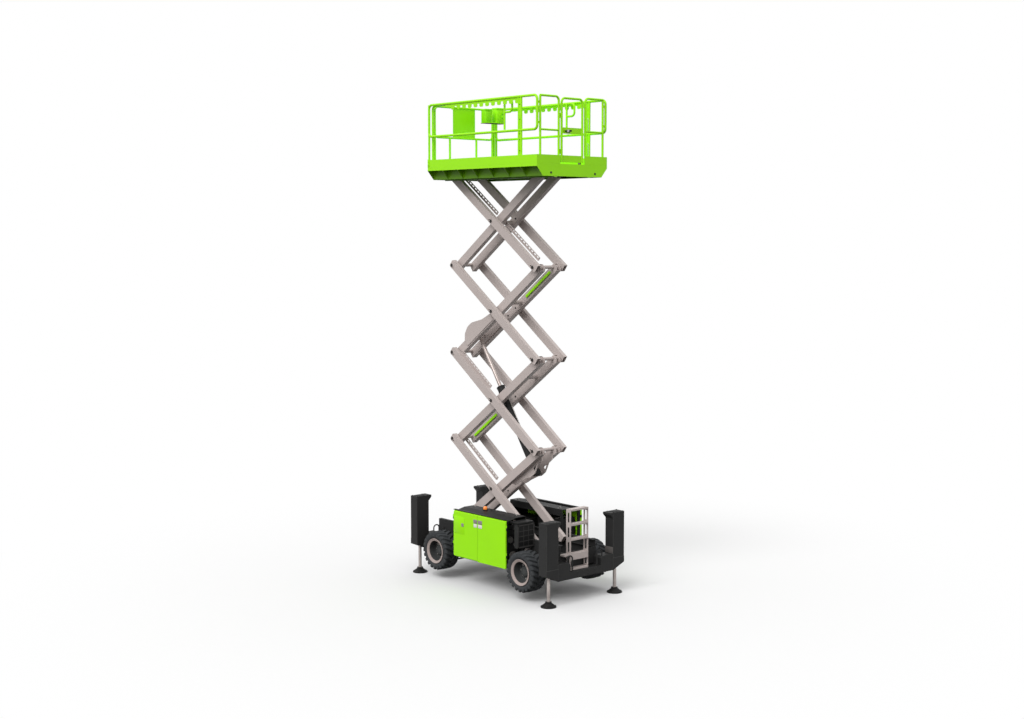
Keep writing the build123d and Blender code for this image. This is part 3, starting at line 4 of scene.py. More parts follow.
import bpy
import numpy as np
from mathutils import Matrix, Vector


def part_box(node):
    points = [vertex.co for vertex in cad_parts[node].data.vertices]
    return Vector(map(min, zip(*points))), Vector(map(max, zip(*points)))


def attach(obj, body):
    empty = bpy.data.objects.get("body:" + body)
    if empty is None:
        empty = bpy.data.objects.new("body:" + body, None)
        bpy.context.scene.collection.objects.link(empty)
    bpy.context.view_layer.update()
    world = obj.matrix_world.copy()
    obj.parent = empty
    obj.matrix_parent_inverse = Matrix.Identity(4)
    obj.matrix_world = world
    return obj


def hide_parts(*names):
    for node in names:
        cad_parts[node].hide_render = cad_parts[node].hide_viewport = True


# Looks of a rough-terrain scissor lift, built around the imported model.
# Metres, +X forward, +Y to the machine's left, +Z up.

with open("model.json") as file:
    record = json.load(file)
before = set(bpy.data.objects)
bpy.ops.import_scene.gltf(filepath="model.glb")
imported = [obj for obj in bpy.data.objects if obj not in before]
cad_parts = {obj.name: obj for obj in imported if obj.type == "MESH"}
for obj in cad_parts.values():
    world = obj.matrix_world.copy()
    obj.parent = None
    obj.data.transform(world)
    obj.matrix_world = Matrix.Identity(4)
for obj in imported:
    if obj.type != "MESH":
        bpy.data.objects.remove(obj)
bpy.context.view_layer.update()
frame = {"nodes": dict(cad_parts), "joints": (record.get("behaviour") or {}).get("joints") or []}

TAU = 2 * math.pi
ALONG, ACROSS, UP = np.eye(3)
SIDES = (("left", 1), ("right", -1))
CORNERS = (("front_left", 1, 1), ("front_right", 1, -1), ("rear_left", -1, 1), ("rear_right", -1, -1))


def box(node):
    """Lowest and highest corner of a CAD node as arrays."""
    low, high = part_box(node)
    return np.array(low), np.array(high)


# ================================================================ surfaces
# A shell is (points, faces): an (n, 3) array, and index arrays of faces with as many corners each.

def outward(points, faces):
    """Turn a closed shell the right way: the signed volume of the fans of all faces, taken from the
    shell's mean point, is made positive."""
    offset = points - points.mean(axis=0)
    volume = 0.0
    for corners in faces:
        for i in range(1, corners.shape[1] - 1):
            fan = np.cross(offset[corners[:, i]], offset[corners[:, i + 1]])
            volume += np.einsum("ij,ij->", offset[corners[:, 0]], fan)
    if volume < 0:
        faces = [corners[:, ::-1] for corners in faces]
    return points, faces


def skin(rows, joined=False):
    """Quads over a grid of points, rows of rings: point (u, v) meets (u + 1, v + 1), v wraps round.
    joined closes the last row on the first; otherwise one face closes each end."""
    count, ring = rows.shape[:2]
    index = np.arange(count * ring).reshape(count, ring)
    if joined:
        index = np.vstack([index, index[:1]])
    beside = np.roll(index, -1, axis=1)
    quads = np.stack([index[:-1], beside[:-1], beside[1:], index[1:]], axis=-1).reshape(-1, 4)
    faces = [quads] if joined else [quads, index[:1, ::-1], index[-1:]]
    return outward(rows.reshape(-1, 3), faces)


def basis(axis):
    """An axis made one long, with two directions square to it and to each other."""
    axis = np.asarray(axis, float) / np.linalg.norm(axis)
    guide = UP if abs(axis[2]) < 0.9 else ALONG
    side = np.cross(guide, axis)
    side /= np.linalg.norm(side)
    return axis, side, np.cross(axis, side)


def circle(count, radius, first=ALONG, second=UP):
    """Places evenly round a circle: radius * (cos t * first + sin t * second)."""
    angle = np.linspace(0, TAU, count, endpoint=False)[:, None]
    return radius * (np.cos(angle) * first + np.sin(angle) * second)


def turned(profile, centre, axis, around=32, joined=False):
    """A profile of (radius, along) turned about an axis:
    centre + along * axis + radius * (cos t * side + sin t * up)."""
    axis, side, up = basis(axis)
    radius, along = np.array(profile, float).T[:, :, None, None]
    return skin(np.asarray(centre) + along * axis + circle(around, radius, side, up), joined)


def disc(centre, axis, radius, depth, around=24, edge=0.0015):
    """A round slab standing on its centre, with a small rounded rim."""
    profile = [(radius, 0), (radius, depth - edge), (radius - 0.3 * edge, depth - 0.3 * edge),
               (radius - edge, depth)]
    return turned(profile, centre, axis, around)


def rounded_outline(half, radius, steps=3):
    """Rectangle with round corners: corner centre + radius * (cos t, sin t) over each quarter turn."""
    quarter = np.linspace(0, TAU / 4, steps + 1)
    outline = []
    for corner, (sx, sy) in enumerate(((1, 1), (-1, 1), (-1, -1), (1, -1))):
        angle = quarter + corner * TAU / 4
        middle = np.array([sx * (half[0] - radius), sy * (half[1] - radius)])
        outline.append(middle + radius * np.stack([np.cos(angle), np.sin(angle)], axis=1))
    return np.concatenate(outline)


def block(low, high, edge=0.003, steps=2):
    """A box with rounded edges: a rounded rectangle carried upwards, drawn in by edge * (1 - sin t)
    over a quarter turn at both ends."""
    low, high = np.minimum(low, high), np.maximum(low, high)
    half = (high - low) / 2
    edge = min(edge, 0.45 * half.min())
    quarter = np.linspace(0, TAU / 4, steps + 1)
    rise = np.concatenate([edge * (1 - np.cos(quarter)), 2 * half[2] - edge * (1 - np.cos(quarter[::-1]))])
    inset = np.concatenate([edge * (1 - np.sin(quarter)), edge * (1 - np.sin(quarter[::-1]))])
    rows = np.zeros((len(rise), 4 * (steps + 1), 3))
    for row, (z, drawn) in enumerate(zip(rise, inset)):
        rows[row, :, :2] = rounded_outline(half[:2] - drawn, 2 * edge - drawn, steps)
        rows[row, :, 2] = z
    return skin(rows + np.array([*(low + half)[:2], low[2]]))


def slab(outline, origin, across, along, depth):
    """A flat outline of (a, b) pairs at origin + a * across + b * along, given a thickness."""
    across, along = np.asarray(across, float), np.asarray(along, float)
    flat = np.array(outline, float)
    face = np.asarray(origin) + flat[:, :1] * across + flat[:, 1:] * along
    thick = depth * np.cross(across, along)
    return skin(np.stack([face, face + thick]))


def rounded_path(points, bend):
    """Straight runs joined by arcs: start + bend * (sin t * run + (1 - cos t) * inward) at each corner."""
    points = np.array(points, float)
    path = [points[:1]]
    for before, corner, after in zip(points, points[1:], points[2:]):
        run = (corner - before) / np.linalg.norm(corner - before)
        leave = (after - corner) / np.linalg.norm(after - corner)
        turn = math.acos(np.clip(run @ leave, -1, 1))
        inward = leave - (leave @ run) * run
        inward /= np.linalg.norm(inward)
        angle = np.linspace(0, turn, 7)[:, None]
        start = corner - run * bend * math.tan(turn / 2)
        path.append(start + bend * (np.sin(angle) * run + (1 - np.cos(angle)) * inward))
    return np.concatenate(path + [points[-1:]])


def pipe(points, radius, bend=0.0, around=12):
    """A ring carried along a path: point + radius * (cos t * side + sin t * up), its two directions
    carried on from one point to the next without twist."""
    path = rounded_path(points, bend) if bend else np.array(points, float)
    run = np.gradient(path, axis=0)
    run /= np.linalg.norm(run, axis=1)[:, None]
    side = basis(run[0])[1]
    sides = []
    for direction in run:
        side = side - (side @ direction) * direction
        side = side / np.linalg.norm(side)
        sides.append(side)
    sides = np.array(sides)
    ups = np.cross(run, sides)
    angle = np.linspace(0, TAU, around, endpoint=False)[None, :, None]
    return skin(path[:, None] + radius * (np.cos(angle) * sides[:, None] + np.sin(angle) * ups[:, None]))


def joined(*shells):
    """Several shells as one."""
    points, faces, start = [], [], 0
    for shell_points, shell_faces in shells:
        points.append(shell_points)
        faces += [corners + start for corners in shell_faces]
        start += len(shell_points)
    return np.concatenate(points), faces


def repeated(shell, places):
    """Copies of a shell moved by each row of places."""
    points, faces = shell
    places = np.array(places, float).reshape(-1, 3)
    moved = (points[None] + places[:, None]).reshape(-1, 3)
    step = (np.arange(len(places)) * len(points))[:, None, None]
    return moved, [(corners[None] + step).reshape(-1, corners.shape[1]) for corners in faces]


def mirrored(shell):
    """The same shell on the machine's other side, Y turned round."""
    points, faces = shell
    return points * np.array([1, -1, 1]), [corners[:, ::-1] for corners in faces]


def both_sides(*shells):
    """Shells and their mirror images."""
    return joined(*shells, *[mirrored(shell) for shell in shells])


def for_side(side, *shells):
    """Shells made for the left side as one, or the mirror image of that for the right side."""
    whole = joined(*shells)
    return whole if side > 0 else mirrored(whole)


def bolt(centre, axis, size):
    """A washer with a six-sided head, its corners drawn in at the top; size is across the corners."""
    axis = basis(axis)[0]
    washer = turned([(0.78 * size, 0), (0.78 * size, 0.14 * size)], centre, axis, 14)
    head = turned([(0.5 * size, 0.14 * size), (0.5 * size, 0.48 * size), (0.4 * size, 0.55 * size)],
                  centre, axis, 6)
    return joined(washer, head)


def bolts(xs, ys, zs, axis, size):
    """A bolt at every meeting of the given x, y and z."""
    return joined(*[bolt((x, y, z), axis, size) for x in xs for y in ys for z in zs])


def about(middle, half):
    """The two values as far to either side of a middle."""
    return middle - half, middle + half


def hoop(line, spokes, across, radius, around):
    """A thin closed ring along a line: point + radius * (cos t * spoke + sin t * across)."""
    angle = np.linspace(0, TAU, around, endpoint=False)[:, None]
    return skin(line[:, None] + radius * (np.cos(angle) * spokes[:, None] + np.sin(angle) * across), True)


def put(name, data):
    """A new object in the scene."""
    made = bpy.data.objects.new(name, data)
    bpy.context.scene.collection.objects.link(made)
    return made


def piece(name, body, slot, finish, *shells, sharp=34.0):
    """A named object from shells, riding on a body, smooth apart from edges over the sharp angle."""
    points, faces = joined(*shells)
    mesh = bpy.data.meshes.new(name)
    mesh.from_pydata(points.tolist(), [], [corner for corners in faces for corner in corners.tolist()])
    mesh.polygons.foreach_set("use_smooth", np.ones(len(mesh.polygons), bool))
    mesh.set_sharp_from_angle(angle=math.radians(sharp))
    mesh.materials.append(finish)
    made = put(name, mesh)
    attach(made, body)
    return made


# ================================================================ finishes
def display(red, green, blue):
    """A colour as seen on a display, 0 to 255, as the linear value that shaders take."""
    shown = np.array([red, green, blue]) / 255
    linear = np.where(shown > 0.04045, ((shown + 0.055) / 1.055) ** 2.4, shown / 12.92)
    return (*[float(v) for v in linear], 1.0)


LIME = display(154, 231, 14)
# the lime darkened as painted shade, for a shaded copy of the lime coat
LIME_SHADE = display(134, 214, 12)
ARM_GREY = display(181, 170, 166)
CHARCOAL = display(44, 44, 44)
RUBBER = display(60, 62, 64)
DUST = display(128, 122, 114)
BARE_STEEL = display(168, 164, 160)


class Tree:
    """Adds nodes to a node tree; a socket given as a value is linked, and a plain value is set."""

    def __init__(self, tree):
        self.tree = tree

    def fill(self, node, inputs):
        """Link or set the inputs of a node, by name or number."""
        for key, value in inputs.items():
            if isinstance(value, bpy.types.NodeSocket):
                self.tree.links.new(value, node.inputs[key])
            else:
                node.inputs[key].default_value = value
        return node

    def add(self, kind, inputs=None, **settings):
        """A new node with its settings and inputs."""
        node = self.tree.nodes.new(kind)
        for key, value in settings.items():
            setattr(node, key, value)
        return self.fill(node, inputs or {})

    def effect(self, group, inputs):
        """The results of a shared effect."""
        return self.add("ShaderNodeGroup", inputs, node_tree=group).outputs

    def maths(self, operation, first, second=0.0):
        """One sum of two values."""
        return self.add("ShaderNodeMath", {0: first, 1: second}, operation=operation).outputs[0]

    def times(self, first, second):
        """first * second."""
        return self.maths("MULTIPLY", first, second)

    def blend(self, factor, first, second):
        """first * (1 - factor) + second * factor, for colours."""
        return self.add("ShaderNodeMix", {0: factor, 6: first, 7: second}, data_type="RGBA").outputs[2]

    def ramp(self, value, low, high, to_low=0.0, to_high=1.0):
        """Runs from to_low to to_high while the value runs from low to high, and stays there."""
        places = {0: value, 1: low, 2: high, 3: to_low, 4: to_high}
        return self.add("ShaderNodeMapRange", places).outputs[0]

    def noise(self, vector, scale, detail):
        """Soft random blotches."""
        inputs = {"Vector": vector, "Scale": scale, "Detail": detail}
        return self.add("ShaderNodeTexNoise", inputs).outputs[0]


def effect_group(name, inputs, outputs):
    """An empty node group with named sockets; returns it with its input values and output node."""
    group = bpy.data.node_groups.new(name, "ShaderNodeTree")
    for socket, kind in inputs:
        group.interface.new_socket(socket, in_out="INPUT", socket_type=kind)
    for socket, kind in outputs:
        group.interface.new_socket(socket, in_out="OUTPUT", socket_type=kind)
    tree = Tree(group)
    return group, tree, tree.add("NodeGroupInput").outputs, tree.add("NodeGroupOutput")


FLOAT, VECTOR = "NodeSocketFloat", "NodeSocketVector"
EDGE_FACING = (0.995, 0.86)    # cosines between true and rounded normal where an edge starts and ends
FINE_STEP, FINE_SHARE = 9.0, 0.35      # how much finer the small blotches are, and how strong
DUST_ON_TOP, DUST_LOW_DOWN = 0.55, 0.8
GRAIN_STRENGTH = 0.35


def make_soft_edges():
    """Rounds edges in the shading, and gives a mask that is 1 on them."""
    group, tree, given, out = effect_group("soft_edges", [("Radius", FLOAT)],
                                           [("Normal", VECTOR), ("Edge", FLOAT)])
    rounded = tree.add("ShaderNodeBevel", {"Radius": given["Radius"]}, samples=4).outputs[0]
    flat = tree.add("ShaderNodeNewGeometry").outputs["Normal"]
    facing = tree.add("ShaderNodeVectorMath", {0: rounded, 1: flat}, operation="DOT_PRODUCT")
    edge = tree.ramp(facing.outputs["Value"], *EDGE_FACING)
    tree.fill(out, {"Normal": rounded, "Edge": edge})
    return group


def make_mottle():
    """Slow and fine blotches laid over each other, about 0 to 1."""
    group, tree, given, out = effect_group("mottle", [("Vector", VECTOR), ("Scale", FLOAT)],
                                           [("Value", FLOAT)])
    slow = tree.noise(given["Vector"], given["Scale"], 3.0)
    fine = tree.noise(given["Vector"], tree.times(given["Scale"], FINE_STEP), 2.0)
    total = tree.maths("ADD", slow, tree.times(fine, FINE_SHARE))
    tree.fill(out, {"Value": tree.ramp(total, 0.42, 0.92)})
    return group


def make_dust():
    """Dust that settles on faces that look up, and thickens towards the ground, broken by blotches."""
    group, tree, given, out = effect_group("dust", [("Vector", VECTOR), ("Top", FLOAT)],
                                           [("Mask", FLOAT)])
    normal = tree.add("ShaderNodeNewGeometry").outputs["Normal"]
    facing = tree.add("ShaderNodeSeparateXYZ", {0: normal}).outputs[2]
    height = tree.add("ShaderNodeSeparateXYZ", {0: given["Vector"]}).outputs[2]
    settled = tree.ramp(facing, 0.35, 1.0, 0.0, DUST_ON_TOP)
    splashed = tree.ramp(tree.maths("DIVIDE", height, given["Top"]), 1.0, 0.1, 0.0, DUST_LOW_DOWN)
    broken = tree.ramp(tree.noise(given["Vector"], 7.0, 5.0), 0.36, 0.68)
    tree.fill(out, {"Mask": tree.times(tree.maths("MAXIMUM", settled, splashed), broken)})
    return group


def make_grain():
    """Fine bumps of a sprayed, moulded or cast skin, on top of the normal that it is given."""
    group, tree, given, out = effect_group(
        "grain", [("Vector", VECTOR), ("Scale", FLOAT), ("Height", FLOAT), ("Normal", VECTOR)],
        [("Normal", VECTOR)])
    bumps = tree.noise(given["Vector"], given["Scale"], 2.0)
    bump = tree.add("ShaderNodeBump", {"Strength": GRAIN_STRENGTH, "Distance": given["Height"],
                                       "Height": bumps, "Normal": given["Normal"]})
    tree.fill(out, {"Normal": bump.outputs[0]})
    return group


SOFT_EDGES, MOTTLE, DUSTING, GRAIN = make_soft_edges(), make_mottle(), make_dust(), make_grain()


def started(name):
    """A new material: its tree, its Principled shader and the piece's own coordinates."""
    material = bpy.data.materials.new(name)
    material.use_nodes = True
    tree = Tree(material.node_tree)
    surface = material.node_tree.nodes["Principled BSDF"]
    return material, tree, surface, tree.add("ShaderNodeTexCoord").outputs["Object"]


def shades(colour, *factors):
    """A colour darkened or lightened by each factor."""
    return [(*[min(1.0, channel * factor) for channel in colour[:3]], 1.0) for factor in factors]


PAINTED_SHADE_BLUR = 0.004             # over which the painted shade inside a frame begins
# how strong and how dark that painted shade is
PAINTED_SHADE_SHARE, PAINTED_SHADE_DARKNESS = 0.8, 0.12
# edges made lighter: partly scuffed paint, partly a painted highlight
SCUFFED_AND_LIT_LIGHTER = 1.35


def finish(name, colour, rough=(0.34, 0.46), spread=(0.96, 1.03), scale=2.2, gloss=0.2, metal=0.0,
           edge=0.004, edge_scuffed_and_lit=None, edge_share=0.3, dust=0.03, dust_top=0.9, grain=(160.0, 0.00015), inner=None):
    """Sprayed, moulded or cast skin: a blotchy colour, edges lighter where scuffed and as a painted
    highlight, dust and a fine grain. inner gives the place from which, half width within which and height
    below which a frame's inside gets painted shade."""
    material, tree, surface, place = started(name)
    edges = tree.effect(SOFT_EDGES, {"Radius": edge})
    tone = tree.effect(MOTTLE, {"Vector": place, "Scale": scale})["Value"]
    shown = tree.blend(tone, *shades(colour, *spread))
    # edge colour: scuffed paint and painted highlight
    scuffed_and_lit = edge_scuffed_and_lit or shades(colour, SCUFFED_AND_LIT_LIGHTER)[0]
    shown = tree.blend(tree.times(edges["Edge"], edge_share), shown, scuffed_and_lit)
    settled = tree.effect(DUSTING, {"Vector": place, "Top": dust_top})["Mask"]
    shown = tree.blend(tree.times(settled, dust), shown, DUST)
    # painted shade: darkens a frame's inside, where its recess lies in shadow
    if inner:
        start, half, top = inner
        along, across, height = tree.add("ShaderNodeSeparateXYZ", {0: place}).outputs
        behind = tree.ramp(along, start, start + PAINTED_SHADE_BLUR)
        between = tree.ramp(tree.maths("ABSOLUTE", across), half, half - PAINTED_SHADE_BLUR)
        below = tree.ramp(height, top, top - PAINTED_SHADE_BLUR)
        mask = tree.times(between, tree.times(below, behind))
        shown = tree.blend(tree.times(mask, PAINTED_SHADE_SHARE), shown, shades(colour, PAINTED_SHADE_DARKNESS)[0])
    bumps = tree.effect(GRAIN, {"Vector": place, "Scale": grain[0], "Height": grain[1],
                                "Normal": edges["Normal"]})
    tree.fill(surface, {"Base Color": shown, "Roughness": tree.ramp(tone, 0.0, 1.0, *rough),
                        "Normal": bumps["Normal"], "Metallic": metal, "Specular IOR Level": gloss})
    return material


def make_rod():
    """Ground rod: fine rings round a dull metal, with a film of oil and dust."""
    material, tree, surface, place = started("polished_rod")
    stretched = tree.add("ShaderNodeMapping", {"Vector": place, "Scale": (2.0, 2.0, 90.0)}).outputs[0]
    rings = tree.noise(stretched, 3.0, 2.0)
    tone = tree.effect(MOTTLE, {"Vector": place, "Scale": 5.0})["Value"]
    bump = tree.add("ShaderNodeBump", {"Strength": 0.1, "Distance": 0.0002, "Height": rings})
    tree.fill(surface, {"Base Color": tree.blend(tone, display(170, 157, 152), display(190, 178, 172)),
                        "Roughness": tree.ramp(rings, 0.3, 0.7, 0.24, 0.4),
                        "Normal": bump.outputs[0], "Metallic": 0.35})
    return material


FOOT_TOP = 0.098               # where a leg's rod enters its foot


def make_leg():
    """Outrigger leg: bright rod above, black foot below the height where the rod enters it."""
    material, tree, surface, place = started("leg_and_foot")
    height = tree.add("ShaderNodeSeparateXYZ", {0: place}).outputs[2]
    rod = tree.ramp(height, FOOT_TOP - 0.001, FOOT_TOP + 0.001)
    edges = tree.effect(SOFT_EDGES, {"Radius": 0.004})
    tone = tree.effect(MOTTLE, {"Vector": place, "Scale": 4.0})["Value"]
    steel = tree.blend(tone, display(150, 141, 137), display(196, 187, 182))
    black = tree.blend(tone, *shades(CHARCOAL, 0.25, 0.42))
    settled = tree.effect(DUSTING, {"Vector": place, "Top": 0.3})["Mask"]
    black = tree.blend(tree.times(settled, 0.06), black, DUST)
    tree.fill(surface, {"Base Color": tree.blend(rod, black, steel),
                        "Roughness": tree.ramp(rod, 0.0, 1.0, 0.55, 0.3),
                        "Metallic": tree.times(rod, 0.5), "Normal": edges["Normal"],
                        "Specular IOR Level": 0.15})
    return material


def make_beacon():
    """Amber moulded lens with upright flutes."""
    material, tree, surface, place = started("amber_lens")
    flutes = tree.add("ShaderNodeTexWave", {"Vector": place, "Scale": 60.0}, wave_type="RINGS",
                      rings_direction="Z").outputs["Fac"]
    tree.fill(surface, {"Base Color": tree.blend(flutes, display(250, 128, 40), display(255, 160, 70)),
                        "Roughness": 0.18, "Coat Weight": 0.6})
    return material


LIME_COAT = finish("lime_powder_coat", LIME, spread=(0.97, 1.02), edge_scuffed_and_lit=display(178, 240, 60))
# the deck's lime, with painted shade inside the frame of the deck
LIME_DECK_SHADED = finish("lime_deck_painted_shade_coat", LIME, spread=(0.97, 1.02), edge_scuffed_and_lit=display(178, 240, 60),
                   inner=(box("platform_deck")[0][0] + 0.03, 0.792, box("platform_deck")[1][2] - 0.012))
# shaded copy of the lime coat: painted shade on the darker control box, and on treads, rivets, ribs and
# small fittings
LIME_SHADE_COAT = finish("lime_shade_coat", LIME_SHADE, rough=(0.4, 0.5))
ARM_COAT = finish("warm_grey_coat", ARM_GREY, rough=(0.38, 0.5), scale=1.6, gloss=0.3,
                  edge_scuffed_and_lit=display(196, 186, 182), edge_share=0.2, edge=0.0025)
BLACK_COAT = finish("charcoal_coat", CHARCOAL, rough=(0.5, 0.6), spread=(0.88, 1.1), gloss=0.12,
                    edge_scuffed_and_lit=display(74, 74, 73), edge_share=0.45, dust=0.04)
COVER_COAT = finish("black_cover_coat", display(30, 30, 30), rough=(0.42, 0.5), gloss=0.1, edge_share=0.2,
                    dust=0.0)
BLACK_PLASTIC = finish("black_moulding", display(26, 26, 26), rough=(0.5, 0.62), gloss=0.12,
                       grain=(420.0, 0.0002))
TYRE = finish("tyre_compound", RUBBER, rough=(0.72, 0.86), spread=(0.9, 1.05), scale=6.0, edge=0.003,
              gloss=0.1, edge_scuffed_and_lit=display(78, 80, 82), edge_share=0.4, dust=0.08, grain=(260.0, 0.0005))
RIM_LIGHT = finish("rim_ring_coat", display(164, 150, 145), edge_scuffed_and_lit=display(196, 186, 181), dust=0.05)
RIM_DARK = finish("rim_centre_coat", display(66, 68, 68), rough=(0.45, 0.6), spread=(0.85, 1.1),
                  gloss=0.12, dust=0.06)
ZINC = finish("zinc_plate", BARE_STEEL, rough=(0.32, 0.5), metal=0.8, edge=0.001, gloss=0.5)
DARK_STEEL = finish("blackened_steel", display(48, 46, 45), rough=(0.4, 0.55), metal=0.4, edge=0.001)
CASTING = finish("engine_casting", display(40, 41, 41), rough=(0.5, 0.68), spread=(0.8, 1.2),
                 scale=5.0, gloss=0.15, dust=0.05, grain=(220.0, 0.0008))
# weld beads lighter than the charcoal: a painted highlight along the housings' corners and the shoes' top
# edge
SEAM_HIGHLIGHT_COAT = finish("seam_painted_highlight_coat", display(70, 70, 69), rough=(0.5, 0.6), gloss=0.12)
GUARD_COAT = finish("radiator_guard_coat", display(56, 55, 54), rough=(0.5, 0.6), gloss=0.12)
PLATE_GREY = finish("blank_plate", display(138, 130, 129), rough=(0.4, 0.5), edge=0.001)
PLATE_DARK = finish("blank_plate_dark", display(88, 84, 82), rough=(0.4, 0.5), edge=0.001)
PLATE_PALE = finish("blank_plate_pale", display(222, 216, 216), rough=(0.4, 0.5), edge=0.001)
ROD_STEEL, LEG, BEACON = make_rod(), make_leg(), make_beacon()

# finish of each CAD node, by the start of its name
NODE_FINISHES = (
    (("inner_arms", "outer_arms", "ladder"), ARM_COAT),
    (("guard_rails", "extension", "rear_gate", "toe_boards", "door", "safety_bar"), LIME_COAT),
    ("platform_controls", LIME_COAT), ("platform_deck", LIME_DECK_SHADED), ("lift_rod", ROD_STEEL),
    (("tie_rod", "base_rollers", "platform_rollers"), DARK_STEEL), ("outrigger_leg", LEG),
    ("tyre", TYRE), ("rim", RIM_DARK), ("engine", CASTING), ("fuel_and_oil_tanks", BLACK_PLASTIC),
    ("module_tray", COVER_COAT), ("", BLACK_COAT))
for name, node in frame["nodes"].items():
    chosen = next(coat for start, coat in NODE_FINISHES if name.startswith(start))
    node.data.materials.clear()
    node.data.materials.append(chosen)

# ================================================================ wheels
LUGS = 22                      # on each shoulder
LUG_DEPTH = 0.027
LUG_SHARE = 0.60               # of the pitch that is rubber
LUG_SLANT = 0.85               # pitches that a lug runs back from the middle to the shoulder
AROUND = 352                   # points round a tyre
BEAD = 0.213
SHOULDER, SHOULDER_IN = 0.030, 0.036   # height and width of the rounding between wall and crown
CROWN_DROP = 0.004


def tyre_section(radius, half):
    """Outline of the tyre's rubber from bead to bead as (radius, across, tread share): sides as
    part of a squared-off ellipse, a nearly flat crown, and a straight inner wall."""
    side = np.linspace(0.0, 1.0, 16)
    wall_radius = BEAD + (radius - SHOULDER - BEAD) * side
    wall_across = half * (0.80 + 0.20 * np.sin(TAU / 4 * np.minimum(1.0, 1.7 * side)))
    shoulder = np.linspace(0.0, TAU / 4, 7)[1:]
    shoulder_radius = radius - SHOULDER + (SHOULDER - CROWN_DROP) * np.sin(shoulder)
    shoulder_across = half - SHOULDER_IN * (1 - np.cos(shoulder))
    crown = np.linspace(1.0, 0.0, 15)[1:]
    crown_across = (half - SHOULDER_IN) * crown
    crown_radius = radius - CROWN_DROP * crown ** 2
    out_radius = np.concatenate([wall_radius, shoulder_radius, crown_radius])
    out_across = np.concatenate([wall_across, shoulder_across, crown_across])
    share = np.clip((out_radius - (radius - 0.066)) / 0.030, 0, 1)
    outer = np.stack([out_radius, out_across, share], axis=1)
    other = (outer * np.array([1, -1, 1]))[-2::-1]
    inner = np.array([[BEAD, -0.55 * half, 0], [BEAD + 0.05, -0.7 * half, 0],
                      [BEAD + 0.05, 0.7 * half, 0], [BEAD, 0.55 * half, 0]])
    return np.concatenate([outer, other, inner])


def lug_mask(angle, across, half):
    """1 on a lug and 0 in a groove: the fraction of the angle in pitches, leaned back with the
    distance from the middle and set half a pitch over on the far side."""
    lean = LUG_SLANT * np.abs(across) / half
    pitch = angle * LUGS / TAU + lean + 0.5 * (across < 0)
    place = np.abs(pitch % 1.0 - 0.5) * 2
    lug = np.clip((LUG_SHARE - place) / 0.14 + 0.5, 0, 1)
    return lug * lug * (3 - 2 * lug)


def make_tyre(corner, side):
    """Tread cut into the section: centre + (radius - depth * groove) round the axle, and the
    shoulders drawn in a little where a groove meets them."""
    low, high = box(f"tyre_{corner}")
    centre = (low + high) / 2
    radius = (high[2] - low[2]) / 2
    half = (high[1] - low[1]) / 2
    section = tyre_section(radius, half)
    angle = np.linspace(0, TAU, AROUND, endpoint=False)[:, None]
    groove = (1 - lug_mask(angle * side, section[None, :, 1], half)) * section[None, :, 2]
    turned_radius = section[None, :, 0] - LUG_DEPTH * groove
    across = section[None, :, 1] * (1 - 0.05 * groove * (section[None, :, 2] > 0))
    rows = np.stack([np.cos(angle) * turned_radius, side * across + 0 * angle,
                     np.sin(angle) * turned_radius], axis=-1) + centre
    tread = piece(f"tyre_tread_{corner}", f"wheel_{corner}", "tyre_rubber", TYRE, skin(rows, True),
                  sharp=50)
    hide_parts(f"tyre_{corner}")
    return centre, high[1] if side > 0 else low[1]


# light ring of a rim as (radius, distance in from the tyre's face); its dark centre likewise
RING_SECTION = ((0.200, 0.050), (0.200, 0.030), (0.210, 0.022), (0.219, 0.014), (0.2225, 0.008),
                (0.222, 0.003), (0.218, 0.001), (0.213, 0.003), (0.206, 0.009), (0.196, 0.013),
                (0.186, 0.016), (0.180, 0.019), (0.177, 0.024), (0.176, 0.032))
CENTRE_SECTION = ((0.194, 0.030), (0.194, 0.280), (0.187, 0.284), (0.180, 0.276), (0.176, 0.196),
                  (0.146, 0.196), (0.110, 0.190), (0.110, 0.178), (0.132, 0.172), (0.152, 0.166),
                  (0.166, 0.164), (0.172, 0.152), (0.174, 0.130), (0.176, 0.030))
HUB_PROFILE = ((0.108, 0.192), (0.108, 0.150), (0.104, 0.140), (0.092, 0.134), (0.088, 0.118),
               (0.074, 0.106), (0.046, 0.103), (0.042, 0.098), (0.012, 0.097))
WHEEL_NUTS = 9
NUT_CIRCLE = 0.137


def make_rim(corner, side, centre, face):
    """Ring, dished centre, hub and nuts, turned about the axle and set in from the tyre's face."""
    axis = np.array([0.0, -side, 0.0])
    middle = np.array([centre[0], face, centre[2]])
    ring = piece(f"rim_ring_{corner}", f"wheel_{corner}", "rim_paint", RIM_LIGHT,
                 turned(RING_SECTION, middle, axis, 96, True))
    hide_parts(f"rim_{corner}")
    spots = circle(WHEEL_NUTS, NUT_CIRCLE)
    nut = bolt(middle + axis * 0.172, -axis, 0.030)
    small = turned([(0.009, 0), (0.009, 0.006), (0.006, 0.009)], middle + axis * 0.104, -axis, 8)
    piece(f"rim_centre_{corner}", f"wheel_{corner}", "rim_paint", RIM_DARK,
          turned(CENTRE_SECTION, middle, axis, 72, True), turned(HUB_PROFILE, middle, axis, 48),
          repeated(small, spots * 0.42))
    piece(f"wheel_nuts_{corner}", f"wheel_{corner}", "rim_paint", ZINC, repeated(nut, spots),
          pipe([middle + (0.19, -side * 0.02, 0.03), middle + (0.178, -side * 0.004, 0.03)], 0.0045,
               around=8))


for corner, end, side in CORNERS:
    wheel_centre, wheel_face = make_tyre(corner, side)
    make_rim(corner, side, wheel_centre, wheel_face)

